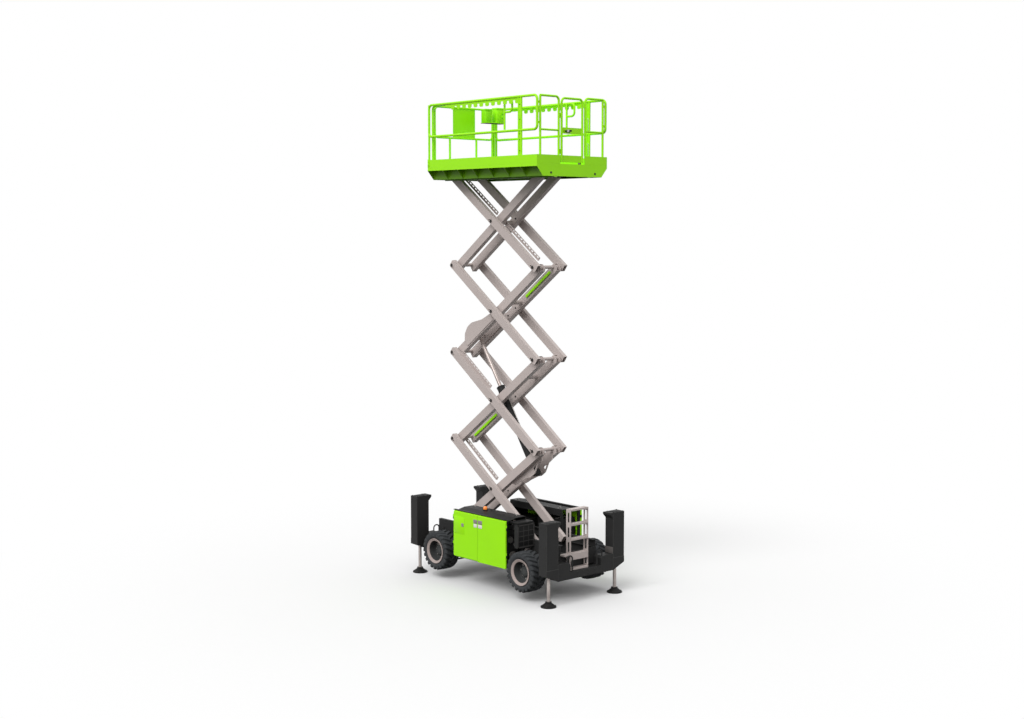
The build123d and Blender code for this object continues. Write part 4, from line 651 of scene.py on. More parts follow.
# ================================================================ scissor stack
joint_at = {joint["name"]: np.array(joint["pos_m"]) for joint in frame["joints"] if joint.get("pos_m")}
front_x, base_z = joint_at["scissor_lift"][0], joint_at["scissor_lift"][2]
rear_x = joint_at["stage_2_rear"][0]
rise = joint_at["stage_2_rear"][2] - base_z
arm_length = math.hypot(front_x - rear_x, rise)
slope = np.array([front_x - rear_x, 0, rise]) / arm_length
OUTER_FACE = box("outer_arms_2")[1][1]
INNER_FACE = box("inner_arms_1")[1][1]
INNER_BACK = INNER_FACE - 0.100
ARM_HIGH = 0.104               # upper edge of an outer arm, square to its line of pins
STAGES = 4


def on_outer(stage, along, lift=0.0, y=0.0):
    """A place on an outer arm: along it from its lower pin, and up square to it."""
    foot = np.array([rear_x, y, base_z + (stage - 1) * rise])
    return foot + along * slope + lift * np.array([-slope[2], 0, slope[0]])


def on_inner(stage, along, lift=0.0, y=0.0):
    """The same on an inner arm, which climbs towards the rear."""
    foot = np.array([front_x, y, base_z + (stage - 1) * rise])
    return foot + along * slope * np.array([-1, 0, 1]) + lift * np.array([slope[2], 0, slope[0]])


def arm_bar(place, stage, along, lift, y):
    """A straight bar along an arm between two places along it, two lifts and two widths."""
    corners = [(lift[0], y[0]), (lift[0], y[1]), (lift[1], y[1]), (lift[1], y[0])]
    rows = [[place(stage, a, height, across) for height, across in corners] for a in along]
    return skin(np.array(rows))


LOCK_ALONG = (0.020, 0.068)    # of a pin's locking plate, from the pin
LOCK_HALF, LOCK_DEPTH = 0.014, 0.004
LOCK_BOLT = 0.048


def pin_end(place, stage, along, turn):
    """End of a pin on an arm's outer face: a flat round head, its locking plate and bolt."""
    centre = place(stage, along, 0, OUTER_FACE)
    lock = place(stage, along + turn * LOCK_BOLT, 0, OUTER_FACE)
    plate = arm_bar(place, stage, [along + turn * reach for reach in LOCK_ALONG], (-LOCK_HALF, LOCK_HALF),
                    (OUTER_FACE, OUTER_FACE + LOCK_DEPTH))
    return disc(centre, ACROSS, 0.030, 0.0045), plate, bolt(lock + ACROSS * LOCK_DEPTH, ACROSS, 0.014)


TRAY_PITCH = 0.085             # of the cells
TRAY_BAR, TRAY_WEB = 0.016, 0.032      # edges along a tray, and webs between its cells
TRAY_WALL, TRAY_FOLD = 0.0035, 0.004
# shares of an outer arm between which hose trays run
TRAYS = {1: ((0.56, 0.955),), 2: ((0.58, 0.955),), 3: (), 4: ((0.055, 0.445), (0.555, 0.955))}


def tray(stage, start, stop):
    """A hose tray beside an outer arm: a strip of cells, each a frame of four bars round a hole,
    between two folded edges. The second stage's stands on top of its arm, clear of the cylinder's
    upper bracket when folded."""
    if stage == 2:
        height, low = 0.046, ARM_HIGH + 0.003
        y = (INNER_FACE + 0.013, INNER_FACE + 0.040)
    else:
        height, low = 0.052, 0.034
        y = (INNER_BACK - 0.034, INNER_BACK - 0.006)
    high = low + height
    wall = (y[0], y[0] + TRAY_WALL)
    first, last = start * arm_length, stop * arm_length
    count = int((last - first) / TRAY_PITCH)
    run = (first, first + count * TRAY_PITCH + TRAY_WEB)
    shells = [arm_bar(on_outer, stage, run, lift, across) for lift, across in (
        ((low, low + TRAY_BAR), wall), ((high - TRAY_BAR, high), wall),
        ((low - TRAY_FOLD, low), y), ((high, high + TRAY_FOLD), y))]
    web = arm_bar(on_outer, stage, (first, first + TRAY_WEB), (low + TRAY_BAR, high - TRAY_BAR), wall)
    steps = np.arange(count + 1)[:, None] * TRAY_PITCH * slope
    return joined(*shells, repeated(web, steps))


PAD_REACH, PAD_DEPTH = 0.16, 0.0045
PAD_LIFT = (-0.094, 0.032)
outer_up = on_outer(1, 0, 1) - on_outer(1, 0)
for stage in range(1, STAGES + 1):
    ends = [(arm_length / 2, 1)]
    if stage > 1:
        ends.append((0.0, 1))
    if stage < STAGES:
        ends.append((arm_length, -1))
    heads, plates, fixings = zip(*[pin_end(on_outer, stage, along, turn) for along, turn in ends])
    body = f"outer_arms_{stage}"
    piece(f"pin_heads_{stage}", body, "steel_rod", DARK_STEEL, both_sides(*heads, *fixings))
    piece(f"pin_locks_{stage}", body, "arm_paint", ARM_COAT, both_sides(*plates))
    # weld beads where sleeves leave the tubes, and grease nipples above the pins
    beads = [turned([(0.0415, 0), (0.0455, 0.0), (0.0415, 0.004)],
                    on_outer(stage, along, 0, OUTER_FACE - 0.0005), (0, 1, 0), 28, True)
             for along, turn in ends]
    nipples = [turned([(0.005, 0), (0.005, 0.008), (0.003, 0.012)],
                      on_outer(stage, along + 0.10, ARM_HIGH, OUTER_FACE - 0.035), outer_up, 8)
               for along in (0.0, arm_length / 2)]
    piece(f"pin_welds_{stage}", body, "arm_paint", ARM_COAT, both_sides(*beads))
    piece(f"grease_nipples_{stage}", body, "steel_rod", ZINC, both_sides(*nipples))
    if TRAYS[stage]:
        piece(f"hose_tray_{stage}", body, "arm_paint", ARM_COAT,
              *[tray(stage, *span) for span in TRAYS[stage]])
    # stiffening plates on the inner faces of the inner arms round their middle pins
    middle = arm_length / 2
    back = INNER_BACK + (0.006 if stage == STAGES else 0.0)
    pad = arm_bar(on_inner, stage, (middle - PAD_REACH, middle + PAD_REACH), PAD_LIFT,
                  (back - PAD_DEPTH, back))
    pad_bolts = [bolt(on_inner(stage, middle + along, -0.032, INNER_BACK - 0.003), (0, -1, 0), 0.022)
                 for along in (-0.12, 0.12)]
    piece(f"middle_pads_{stage}", f"inner_arms_{stage}", "arm_paint", ARM_COAT, both_sides(pad))
    piece(f"middle_bolts_{stage}", f"inner_arms_{stage}", "steel_rod", DARK_STEEL, both_sides(*pad_bolts))

# lift cylinder: raised bands on the gland, ports and a hard line along the barrel
barrel_top = box("lift_barrel")[1][2]
barrel_pin = joint_at["lift_barrel_pivot"]
slide = next(joint for joint in frame["joints"] if joint["name"] == "lift_rod_slide")
lift_axis = np.array(slide["axis"], float)
lift_up = np.cross(lift_axis, (0, 1, 0))
BARREL_RADIUS, GLAND_RADIUS = 0.063, 0.071
BAND_PROUD, BAND_SUNK = 0.005, 0.002
PORTS = (0.16, -0.22)          # from the pin, and back from the barrel's end
LINE_GAP = 0.018
barrel_length = (barrel_top - barrel_pin[2]) / lift_axis[2] - 0.02


def on_barrel(along, height):
    """A place along the barrel from its pin, and up square to it."""
    return barrel_pin + lift_axis * along + lift_up * height


band = [(GLAND_RADIUS - BAND_SUNK, -0.158), (GLAND_RADIUS + BAND_PROUD, -0.152),
        (GLAND_RADIUS + BAND_PROUD, -0.132), (GLAND_RADIUS - BAND_SUNK, -0.126)]
bands = [turned(band, on_barrel(barrel_length + shift, 0), lift_axis, 40) for shift in (0.0, 0.1)]
ports = [disc(on_barrel(place, BARREL_RADIUS - 0.004), lift_up, 0.022, 0.026)
         for place in (PORTS[0], barrel_length + PORTS[1])]
piece("cylinder_bands", "lift_barrel", "black_paint", BLACK_COAT, *bands, *ports)
line = [on_barrel(PORTS[0], BARREL_RADIUS), on_barrel(PORTS[0] + 0.04, BARREL_RADIUS + LINE_GAP),
        on_barrel(barrel_length - 0.30, BARREL_RADIUS + LINE_GAP),
        on_barrel(barrel_length + PORTS[1], BARREL_RADIUS + 0.01)]
piece("cylinder_line", "lift_barrel", "steel_rod", ZINC, pipe(line, 0.008, bend=0.02))

# ================================================================ side modules
front_low, front_high = box("door_left_front")
back_low, back_high = box("door_left_rear")
DOOR_FACE, DOOR_LOW, DOOR_TOP = front_high[1], front_low[2], front_high[2]
DOOR_MARGIN = 0.015
DOOR_DEPTH = 0.0255
front_edge, rear_edge = front_high[0] - DOOR_MARGIN, back_low[0] + DOOR_MARGIN
module_length = front_edge - rear_edge
seam_share = (front_edge - (front_low[0] + back_high[0]) / 2) / module_length
LATCH_WIDTH, LATCH_GAP = {"front": 0.092, "rear": 0.110}, 0.012
RIVET = ((0.006, 0), (0.005, 0.002), (0.002, 0.003))
# rivets of a door: share of the module's length from the front, share of the door's height from the top
DOOR_RIVETS = {
    "front": ((0.045, 0.20), (0.045, 0.40), (0.07, 0.90), (0.14, 0.87), (0.21, 0.90), (0.28, 0.87),
              (0.35, 0.90), (0.12, 0.98), (0.3, 0.98)),
    "rear": ((0.6, 0.88), (0.67, 0.85), (0.75, 0.88), (0.83, 0.85), (0.93, 0.88), (0.6, 0.52),
             (0.66, 0.52), (0.73, 0.52))}


def on_door(share, drop):
    """A place on the left doors' outer face: share of their length from the front, share of their
    height from the top."""
    return np.array([front_edge - share * module_length, DOOR_FACE, DOOR_TOP - drop * (DOOR_TOP - DOOR_LOW)])


def face_plate(share, drop, size, thick, edge=0.002):
    """A thin plate on the door's face: its middle, its length and height."""
    middle = on_door(share, drop)
    half = np.array([size[0] / 2, 0, size[1] / 2])
    return block(middle - half, middle + half + ACROSS * thick, edge)


def door_trim(side_name, side, which):
    """Trim of one door: hatch plate, latches, blank plates, rivets, and ribs behind it."""
    name = f"{side_name}_{which}"
    body = f"door_{name}"
    width = LATCH_WIDTH[which]
    away = -1 if which == "front" else 1
    middle = seam_share + away * (0.5 * width + LATCH_GAP) / module_length
    latches = [face_plate(middle, 0.150, (width, 0.066), 0.007)]
    if which == "front":
        latches.insert(0, face_plate(0.190, 0.285, (0.062, 0.058), 0.008))
        hatch = face_plate(0.128, 0.302, (0.262, 0.296), 0.0035, 0.0015)
        piece(f"door_hatch_{name}", body, "lime_paint", LIME_COAT, for_side(side, hatch))
    plate = face_plate(middle, 0.238, (width - 0.008, 0.060), 0.005)
    rivet = turned(RIVET, (0, 0, 0), ACROSS, 8)
    rivets = repeated(rivet, [on_door(*spot) for spot in DOOR_RIVETS[which]])
    low, high = box(body)
    back = DOOR_FACE - DOOR_DEPTH
    ribs = [block((low[0] + 0.07, back - 0.010, z), (high[0] - 0.07, back, z + 0.030), 0.003)
            for z in (DOOR_LOW + 0.06, (DOOR_LOW + DOOR_TOP) / 2, DOOR_TOP - 0.10)]
    piece(f"door_latches_{name}", body, "rail_paint", PLATE_GREY, for_side(side, *latches))
    piece(f"door_plates_{name}", body, "rail_paint", PLATE_PALE, for_side(side, plate))
    piece(f"door_rivets_{name}", body, "lime_paint", LIME_SHADE_COAT, for_side(side, rivets))
    piece(f"door_ribs_{name}", body, "lime_paint", LIME_SHADE_COAT, for_side(side, *ribs))


for side_name, side in SIDES:
    for which in ("front", "rear"):
        door_trim(side_name, side, which)

tray_low, tray_high = box("module_tray_left")
COVER_PEAK = tray_high[2]
EYE_HALF, EYE_Y, COVER_BOLT_Y = 0.022, 0.52, 0.48
eye_x = (tray_high[0] - 0.14, tray_low[0] + 0.18)
for side_name, side in SIDES:
    # lifting eyes and hold-down bolts on the sloped cover
    low, high = COVER_PEAK - 0.004, COVER_PEAK + EYE_HALF
    eyes = [pipe([(x - EYE_HALF, EYE_Y, low), (x - EYE_HALF, EYE_Y, high), (x + EYE_HALF, EYE_Y, high),
                  (x + EYE_HALF, EYE_Y, low)], 0.005, bend=0.020, around=10) for x in eye_x]
    heads = bolts(np.linspace(*eye_x, 5), (COVER_BOLT_Y,), (COVER_PEAK,), UP, 0.014)
    piece(f"cover_eyes_{side_name}", "chassis", "steel_rod", ZINC, for_side(side, *eyes, heads))

# beacon on the left cover; a black drip edge and a seal along both covers
beacon_foot = np.array([0.105, 0.585, COVER_PEAK + 0.001])
LENS_RADIUS, LENS_RISE, LENS_SIDE = 0.036, 0.022, 0.045
dome = [(LENS_RADIUS, 0.012)] + [(LENS_RADIUS * math.cos(t), LENS_SIDE + LENS_RISE * math.sin(t))
                                 for t in np.linspace(0, TAU / 4, 8)[:-1]]
piece("beacon_lens", "chassis", "lime_paint", BEACON, turned(dome, beacon_foot, UP, 32))
piece("beacon_base", "chassis", "black_paint", BLACK_PLASTIC,
      turned([(0.044, 0), (0.044, 0.010), (0.038, 0.014)], beacon_foot, UP, 32))
drip = block((rear_edge + 0.01, 0.845, DOOR_TOP + 0.004),
             (front_edge - 0.01, DOOR_FACE - 0.001, DOOR_TOP + 0.016), 0.003)
seal = block((rear_edge + 0.02, 0.838, DOOR_TOP - 0.050),
             (front_edge - 0.02, 0.864, DOOR_TOP + 0.006), 0.003)
piece("cover_drip_edges", "chassis", "black_paint", COVER_COAT, both_sides(drip, seal))

GRILLE_COLUMNS, GRILLE_ROWS = 3, 4
GRILLE_BAR, GRILLE_RIM = 0.012, 0.024


def make_grille():
    """Columns and rows of openings between flat bars, each row one bar repeated, in a folded frame
    over the radiator's rear face; above it a rounded hood closes the gap to the cover."""
    (x0, y0, z0), (_, y1, z1) = box("radiator")
    x, half, rim = x0 - 0.006, GRILLE_BAR / 2, GRILLE_RIM
    width, height = y1 - y0 - 2 * rim, z1 - z0 - 2 * rim
    upright = block((x, y0 + rim - half, z0 + rim), (x + 0.005, y0 + rim + half, z1 - rim), 0.0015)
    level = block((x - 0.001, y0 + rim, z0 + rim - half), (x + 0.004, y1 - rim, z0 + rim + half), 0.0015)
    across = np.arange(1, GRILLE_COLUMNS)[:, None] * (width / GRILLE_COLUMNS) * ACROSS
    upwards = np.arange(1, GRILLE_ROWS)[:, None] * (height / GRILLE_ROWS) * UP
    edges = [block((x - 0.004, y0, z), (x + 0.006, y1, z + rim), 0.003) for z in (z0, z1 - rim)]
    edges += [block((x - 0.004, y, z0), (x + 0.006, y + rim, z1), 0.003) for y in (y0, y1 - rim)]
    hood = block((x0 - 0.01, y0 + 0.02, z1 + 0.004), (rear_edge + 0.02, y1 - 0.01, z1 + 0.040), 0.014)
    core = block((x + 0.002, y0 + 0.01, z0 + 0.01), (x + 0.006, y1 - 0.01, z1 - 0.01), 0.001)
    piece("radiator_grille", "chassis", "black_paint", GUARD_COAT,
          repeated(upright, across), repeated(level, upwards), *edges)
    piece("radiator_hood", "chassis", "black_paint", COVER_COAT, hood)
    piece("radiator_core", "chassis", "black_paint", BLACK_PLASTIC, core)


make_grille()


def make_engine():
    """Three-cylinder engine: sump, block, head, ribbed cover, runners, filters and pulleys."""
    (x0, y0, z0), (x1, y1, z1) = box("engine")
    x_mid, y_mid, waist = (x0 + x1) / 2, (y0 + y1) / 2, z0 + 0.30
    body = [block((x0 + 0.05, y0 + 0.05, z0), (x1 - 0.03, y1 - 0.05, z0 + 0.17), 0.02),
            block((x0 + 0.03, y0 + 0.02, z0 + 0.16), (x1 - 0.02, y1 - 0.02, waist + 0.12), 0.012),
            block((x0 + 0.06, y0 + 0.06, waist + 0.11), (x1 - 0.05, y1 - 0.06, z1 - 0.13), 0.010),
            block((x0 + 0.09, y_mid - 0.09, z1 - 0.14), (x1 - 0.12, y_mid + 0.09, z1 - 0.04), 0.02)]
    rib = block((0, y_mid - 0.085, z1 - 0.045), (0.010, y_mid + 0.085, z1 - 0.034), 0.002)
    ribs = repeated(rib, [(x, 0, 0) for x in np.linspace(x0 + 0.12, x1 - 0.16, 9)])
    fin = block((x0 + 0.03, y1 - 0.022, waist - 0.08), (x1 - 0.02, y1 - 0.006, waist - 0.072), 0.002)
    fins = repeated(fin, np.arange(6)[:, None] * 0.028 * UP)
    made = piece("engine_body", "chassis", "engine_iron", CASTING, *body, ribs, fins)
    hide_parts("engine")
    runners = [pipe([(x, y1 - 0.07, waist + 0.20), (x, y1 - 0.03, waist + 0.20),
                     (x, y1 - 0.03, waist + 0.27), (x, y_mid + 0.07, waist + 0.30)], 0.019, bend=0.025)
               for x in np.linspace(x0 + 0.14, x1 - 0.14, 3)]
    oil_filter = turned([(0.045, 0), (0.05, 0.01), (0.05, 0.12), (0.036, 0.13)],
                        (x_mid + 0.12, y1 - 0.055, z0 + 0.17), UP, 28)
    cleaner = turned([(0.05, 0), (0.072, 0.01), (0.072, 0.20), (0.064, 0.21), (0.064, 0.26), (0.03, 0.27)],
                     (x1 - 0.33, y0 + 0.085, z1 - 0.10), ALONG, 36)
    piece("engine_fittings", "chassis", "black_paint", BLACK_PLASTIC, *runners, oil_filter, cleaner)
    pulleys = [turned([(r, 0), (r, 0.008), (r - 0.010, 0.012), (r, 0.018), (r, 0.026)],
                      (x0 + 0.004, y_mid + y, z0 + z), ALONG, 32)
               for y, z, r in ((0, 0.16, 0.075), (-0.07, 0.34, 0.045), (0.06, 0.44, 0.055))]
    piece("engine_pulleys", "chassis", "steel_rod", ZINC, *pulleys)
    piece("engine_bolts", "chassis", "steel_rod", ZINC,
          bolts(np.linspace(x0 + 0.11, x1 - 0.14, 4), about(y_mid, 0.07), (z1 - 0.04,), UP, 0.016))


make_engine()


def make_tank_fittings():
    """Caps, straps and a level glass on the fuel and oil tanks."""
    (x0, y0, z0), (x1, y1, z1) = box("fuel_and_oil_tanks")
    straps = []
    for x in (x0 + 0.12, x0 + 0.46):
        straps += [block((x, y0 - 0.004, z0 + 0.01), (x + 0.03, y0, z1 + 0.003), 0.001),
                   block((x, y0 - 0.004, z1), (x + 0.03, y1 + 0.004, z1 + 0.004), 0.001)]
    piece("tank_straps", "chassis", "steel_rod", ZINC, *straps)
    middle = np.array([x0 + 0.29, (y0 + y1) / 2, z1])
    cap = turned([(0.045, 0), (0.045, 0.012), (0.038, 0.016), (0.038, 0.036), (0.032, 0.040)],
                 middle, UP, 24)
    grip = turned([(0.004, 0), (0.004, 0.022)], middle + UP * 0.015, UP, 6)
    glass = block((x1 - 0.25, y0 - 0.010, z0 + 0.12), (x1 - 0.22, y0, z0 + 0.30), 0.004)
    piece("tank_caps", "chassis", "black_paint", BLACK_PLASTIC, cap,
          repeated(grip, circle(16, 0.038, ALONG, ACROSS)), glass)


make_tank_fittings()

# ================================================================ chassis ends
HOUSING_Y = (0.640, 0.905)
LEG_X, LEG_Y = 1.700, sum(HOUSING_Y) / 2
SHOE_PROUD = 0.006             # the shoe round a housing's foot stands this far beyond its face
BEAM_LOW, SHOE_TOP, BEAM_TOP, CAP_LOW = 0.44, 0.628, 0.700, 1.370
THIN_BEAD, THICK_BEAD = 0.0030, 0.0035
cap_top = box("rear_end_beam")[1][2]


def end_details(end, name):
    """Cap plates, weld beads down the housings' corners and over the shoes, lighter than the housings as a
    painted highlight, and bolt heads.
    """
    low, high = box(f"{name}_end_beam")
    face = (high[0] if end > 0 else low[0]) - end * SHOE_PROUD
    shoe, leg_x = face + end * SHOE_PROUD / 2, end * LEG_X
    inner, outer = HOUSING_Y
    plate = block((leg_x - 0.058, LEG_Y - 0.075, cap_top - 0.001),
                  (leg_x + 0.058, LEG_Y + 0.075, cap_top + 0.006), 0.003)
    seams = [((face, y, SHOE_TOP), (face, y, CAP_LOW), THIN_BEAD) for y in (inner + 0.004, outer - 0.004)]
    seams += [((shoe, inner, SHOE_TOP), (shoe, outer, SHOE_TOP), THICK_BEAD),
              ((face, inner - 0.06, BEAM_TOP), (face, inner, BEAM_TOP), THIN_BEAD),
              ((shoe, inner - 0.006, BEAM_LOW), (shoe, inner - 0.006, SHOE_TOP), THICK_BEAD)]
    beads = [pipe([start, stop], radius, around=8) for start, stop, radius in seams]
    heads = [bolts(about(leg_x, 0.075), about(LEG_Y, 0.11), (cap_top,), UP, 0.016),
             bolts(about(leg_x, 0.06), (outer,), (0.70, 1.02, 1.34), ACROSS, 0.014),
             bolts((face,), (0.06, 0.20), (0.448, 0.510), (end, 0, 0), 0.018)]
    piece(f"outrigger_caps_{name}", "chassis", "black_paint", BLACK_COAT, both_sides(plate))
    piece(f"outrigger_seams_{name}", "chassis", "black_paint", SEAM_HIGHLIGHT_COAT, both_sides(*beads))
    piece(f"outrigger_bolts_{name}", "chassis", "black_paint", BLACK_COAT, both_sides(*heads))


for end, name in ((1, "front"), (-1, "rear")):
    end_details(end, name)

# a clamped collar over the ball joint of each foot, and bolt heads round its rim
COLLAR = ((0.030, 0.076), (0.052, 0.076), (0.055, 0.079), (0.055, 0.090), (0.050, 0.094), (0.030, 0.0975))
for corner, end, side in CORNERS:
    middle = np.array([end * LEG_X, side * LEG_Y, 0.0])
    piece(f"foot_collar_{corner}", f"outrigger_{corner}", "black_paint", BLACK_PLASTIC,
          turned(COLLAR, middle, UP, 40, True))
    piece(f"foot_bolts_{corner}", f"outrigger_{corner}", "black_paint", BLACK_COAT,
          repeated(bolt(middle + UP * 0.026, UP, 0.014), circle(6, 0.115, ALONG, ACROSS)))

# blank data plate on the inner side of the rear right housing
plate_foot = np.array([-1.790, -HOUSING_Y[0] - 0.0005, BEAM_TOP + 0.003])
piece("data_plate", "chassis", "rail_paint", PLATE_DARK,
      block(plate_foot, plate_foot + (0.184, 0.007, 0.109), 0.002))

# battery box with a sloping front, low behind the left front wheel
battery_outline = [(0.86, 0.80), (1.120, 0.80), (1.120, 0.815), (1.062, 0.975), (1.02, 0.990), (0.86, 0.990)]
piece("battery_box", "chassis", "black_paint", BLACK_COAT,
      slab(battery_outline, (0, 0.452, 0), ALONG, UP, 0.060))

# return-line filter on the left frame rail, inside the rear wheel; access bolts along both rails
rail_face = box("main_frame")[1][1]
filter_top = np.array([-0.86, rail_face + 0.062, 0.70])
piece("filter_can", "chassis", "rail_paint", PLATE_GREY,
      turned([(0.030, -0.13), (0.046, -0.12), (0.046, 0.05), (0.050, 0.052), (0.050, 0.09), (0.03, 0.10)],
             filter_top, UP, 32))
piece("filter_bracket", "chassis", "black_paint", BLACK_COAT,
      block((filter_top[0] - 0.05, rail_face, filter_top[2] + 0.055),
            (filter_top[0] + 0.05, rail_face + 0.03, filter_top[2] + 0.085), 0.003))
piece("rail_bolts", "chassis", "steel_rod", DARK_STEEL,
      both_sides(bolts(np.arange(-1.45, 1.5, 0.29), (rail_face,), (0.62, 0.80), ACROSS, 0.022)))

# ================================================================ ladder
STEP_COUNT, STEP_HEIGHT, STEP_WIDTH = 5, 0.030, 0.410


def make_ladder_grips():
    """Raised cleats along each step, and bolt heads where the steps meet the side plates."""
    low, high = box("ladder")
    right, left = low[1], low[1] + STEP_WIDTH
    pitch = (high[2] - low[2] - STEP_HEIGHT) / (STEP_COUNT - 1)
    tops = low[2] + np.arange(STEP_COUNT - 1) * pitch + STEP_HEIGHT
    xs, ys = np.meshgrid(np.arange(low[0] + 0.012, high[0] - 0.020, 0.019),
                         np.arange(right + 0.018, left - 0.02, 0.026))
    cleat = block((0, 0, 0), (0.009, 0.012, 0.003), 0.001, 1)
    places = [np.stack([xs.ravel(), ys.ravel(), np.full(xs.size, top - 0.0005)], axis=1) for top in tops]
    piece("ladder_cleats", "chassis", "arm_paint", ARM_COAT, repeated(cleat, np.concatenate(places)))
    heads = [bolt((x, y, top - STEP_HEIGHT / 2), (0, out, 0), 0.012) for top in tops
             for x in (low[0] + 0.030, high[0] - 0.036) for y, out in ((right, -1), (left, 1))]
    piece("ladder_bolts", "chassis", "arm_paint", ARM_COAT, *heads)


make_ladder_grips()

# ================================================================ platform
deck_low, deck_high = box("platform_deck")
rail_high = box("guard_rails")[1]
toe_top = box("toe_boards")[1][2]
TUBE = 0.021
RAIL_Y = rail_high[1] - TUBE
top_rail = rail_high[2] - TUBE
mid_rail = top_rail - 0.545
TWIN_POST = -1.035             # side post that has a second tube beside it
TWIN_GAP = 0.062               # from a post to the tube beside it
STUD_HALF, STUD_HEIGHT, STUD_TAPER = (0.016, 0.0045), 0.0014, 0.55


def stud_field(x_span, y_span, z, pitch=0.045):
    """Raised lozenges of tread plate, turned left and right by turns over a square grid."""
    xs, ys = np.meshgrid(np.arange(*x_span, pitch), np.arange(*y_span, pitch), indexing="ij")
    number = np.add.outer(np.arange(xs.shape[0]), np.arange(xs.shape[1]))
    shells = []
    for turn, odd in ((TAU / 8, 0), (-TAU / 8, 1)):
        run = np.array([math.cos(turn), math.sin(turn), 0])
        side = np.array([-run[1], run[0], 0])
        foot = circle(4, 1.0, run * STUD_HALF[0], side * STUD_HALF[1])
        chosen = number % 2 == odd
        places = np.stack([xs[chosen], ys[chosen], np.full(chosen.sum(), z)], axis=1)
        shells.append(repeated(skin(np.stack([foot, foot * STUD_TAPER + UP * STUD_HEIGHT])), places))
    return joined(*shells)


piece("deck_tread", "platform", "lime_paint", LIME_SHADE_COAT,
      stud_field((deck_low[0] + 0.04, deck_high[0] - 0.05), (-0.74, 0.75), deck_high[2]), sharp=20)
ext_low, ext_high = box("extension_deck")
EXTENSION_TOP = deck_high[2] + 0.022
piece("extension_tread", "extension", "lime_paint", LIME_SHADE_COAT,
      stud_field((ext_low[0] + 0.04, ext_high[0] - 0.06), (-0.70, 0.71), EXTENSION_TOP), sharp=20)

# second tube beside the rear side posts, with the small sleeves and dark bolt heads that join them
twin = TWIN_POST + TWIN_GAP
sleeve_z = (toe_top + 0.06, toe_top + 0.24, mid_rail - 0.07, mid_rail + 0.16, top_rail - 0.14)
sleeves = [block((TWIN_POST - 0.006, RAIL_Y - 0.005, z), (twin + 0.006, RAIL_Y + 0.005, z + 0.026), 0.002)
           for z in sleeve_z]
heads = bolts((TWIN_POST + TWIN_GAP / 2,), (RAIL_Y + 0.005,), np.array(sleeve_z) + 0.013, ACROSS, 0.012)
tube = pipe([(twin, RAIL_Y, toe_top - 0.10), (twin, RAIL_Y, top_rail)], 0.017, around=20)
web = block((TWIN_POST + 0.012, RAIL_Y - 0.003, toe_top - 0.10),
            (twin - 0.010, RAIL_Y + 0.003, top_rail), 0.001)
piece("twin_posts", "platform", "lime_paint", LIME_COAT, both_sides(tube, web, *sleeves))
piece("twin_post_bolts", "platform", "black_paint", DARK_STEEL, both_sides(heads))

# brackets at the feet of the front posts
front_post = rail_high[0] - TUBE
feet = block((front_post - 0.030, 0.799, toe_top - 0.12), (front_post + 0.018, 0.806, toe_top + 0.01), 0.002)
heads = bolts((front_post - 0.006,), (0.806,), (toe_top - 0.09, toe_top - 0.03), ACROSS, 0.012)
piece("post_feet", "platform", "lime_paint", LIME_COAT, both_sides(feet))
piece("post_foot_bolts", "platform", "lime_paint", LIME_SHADE_COAT, both_sides(heads))

# lanyard anchors: a round plate with a ring on the deck's side beams inside the toe boards
anchors, rings = [], []
for x in (-1.15, -0.80):
    base = np.array([x, 0.768, toe_top - 0.09])
    anchors.append(disc(base + ACROSS * 0.010, -ACROSS, 0.030, 0.010))
    spokes = circle(24, 1.0)
    rings.append(hoop(base + (0, -0.006, -0.020) + 0.026 * spokes, spokes, ACROSS, 0.0045, 8))
piece("lanyard_plates", "platform", "black_paint", BLACK_COAT, both_sides(*anchors))
piece("lanyard_rings", "platform", "steel_rod", ZINC, both_sides(*rings))

# two round dark plugs in the rear skirt
for label, y in (("left", 0.49), ("right", -0.515)):
    piece(f"rear_lug_{label}", "platform", "black_paint", DARK_STEEL,
          disc((deck_low[0], y, deck_low[2] + 0.068), -ALONG, 0.020, 0.004))

# gate: latch box, blank label, spring catch and safety chains
latch = np.array([box("rear_gate")[0][0], 0.113, mid_rail - 0.010])
piece("gate_latch", "gate", "rail_paint", PLATE_GREY,
      block(latch + (-0.020, -0.040, -0.024), latch + (0.002, 0.028, 0.026), 0.004))
piece("gate_latch_label", "gate", "rail_paint", PLATE_PALE,
      block(latch + (-0.022, -0.012, -0.016), latch + (-0.0195, 0.022, 0.018), 0.001))
piece("gate_catch", "gate", "black_paint", BLACK_PLASTIC,
      turned([(0.010, 0), (0.010, 0.018), (0.016, 0.022), (0.016, 0.032), (0.012, 0.036)],
             latch + (-0.020, -0.026, 0.004), -ALONG, 20),
      block(latch + (-0.014, 0.030, -0.012), latch + (-0.002, 0.075, 0.012), 0.003))

LINK_HALF, LINK_WIRE, LINK_PITCH = (0.008, 0.013), 0.0024, 0.0195
CHAIN_Y = -0.352


def link(centre, wide):
    """One chain link: a small ring pulled out along Z, lying across the direction given."""
    line = circle(16, 1.0, wide * LINK_HALF[0], UP * LINK_HALF[1])
    return hoop(np.asarray(centre) + line, circle(16, 1.0, wide), np.cross(wide, UP), LINK_WIRE, 6)


chain = []
for foot_z, links in ((mid_rail + 0.025, 10), (toe_top + 0.03, 9)):
    chain += [link((deck_low[0] - 0.004, CHAIN_Y, foot_z + LINK_PITCH * i), (ALONG, ACROSS)[i % 2])
              for i in range(links)]
    eye_z = foot_z + LINK_PITCH * links - 0.002
    chain.append(pipe([(deck_low[0] + 0.012, CHAIN_Y + 0.014, eye_z), (deck_low[0] - 0.004, CHAIN_Y, eye_z)],
                      0.004, around=8))
piece("gate_chains", "platform", "steel_rod", ZINC, *chain)

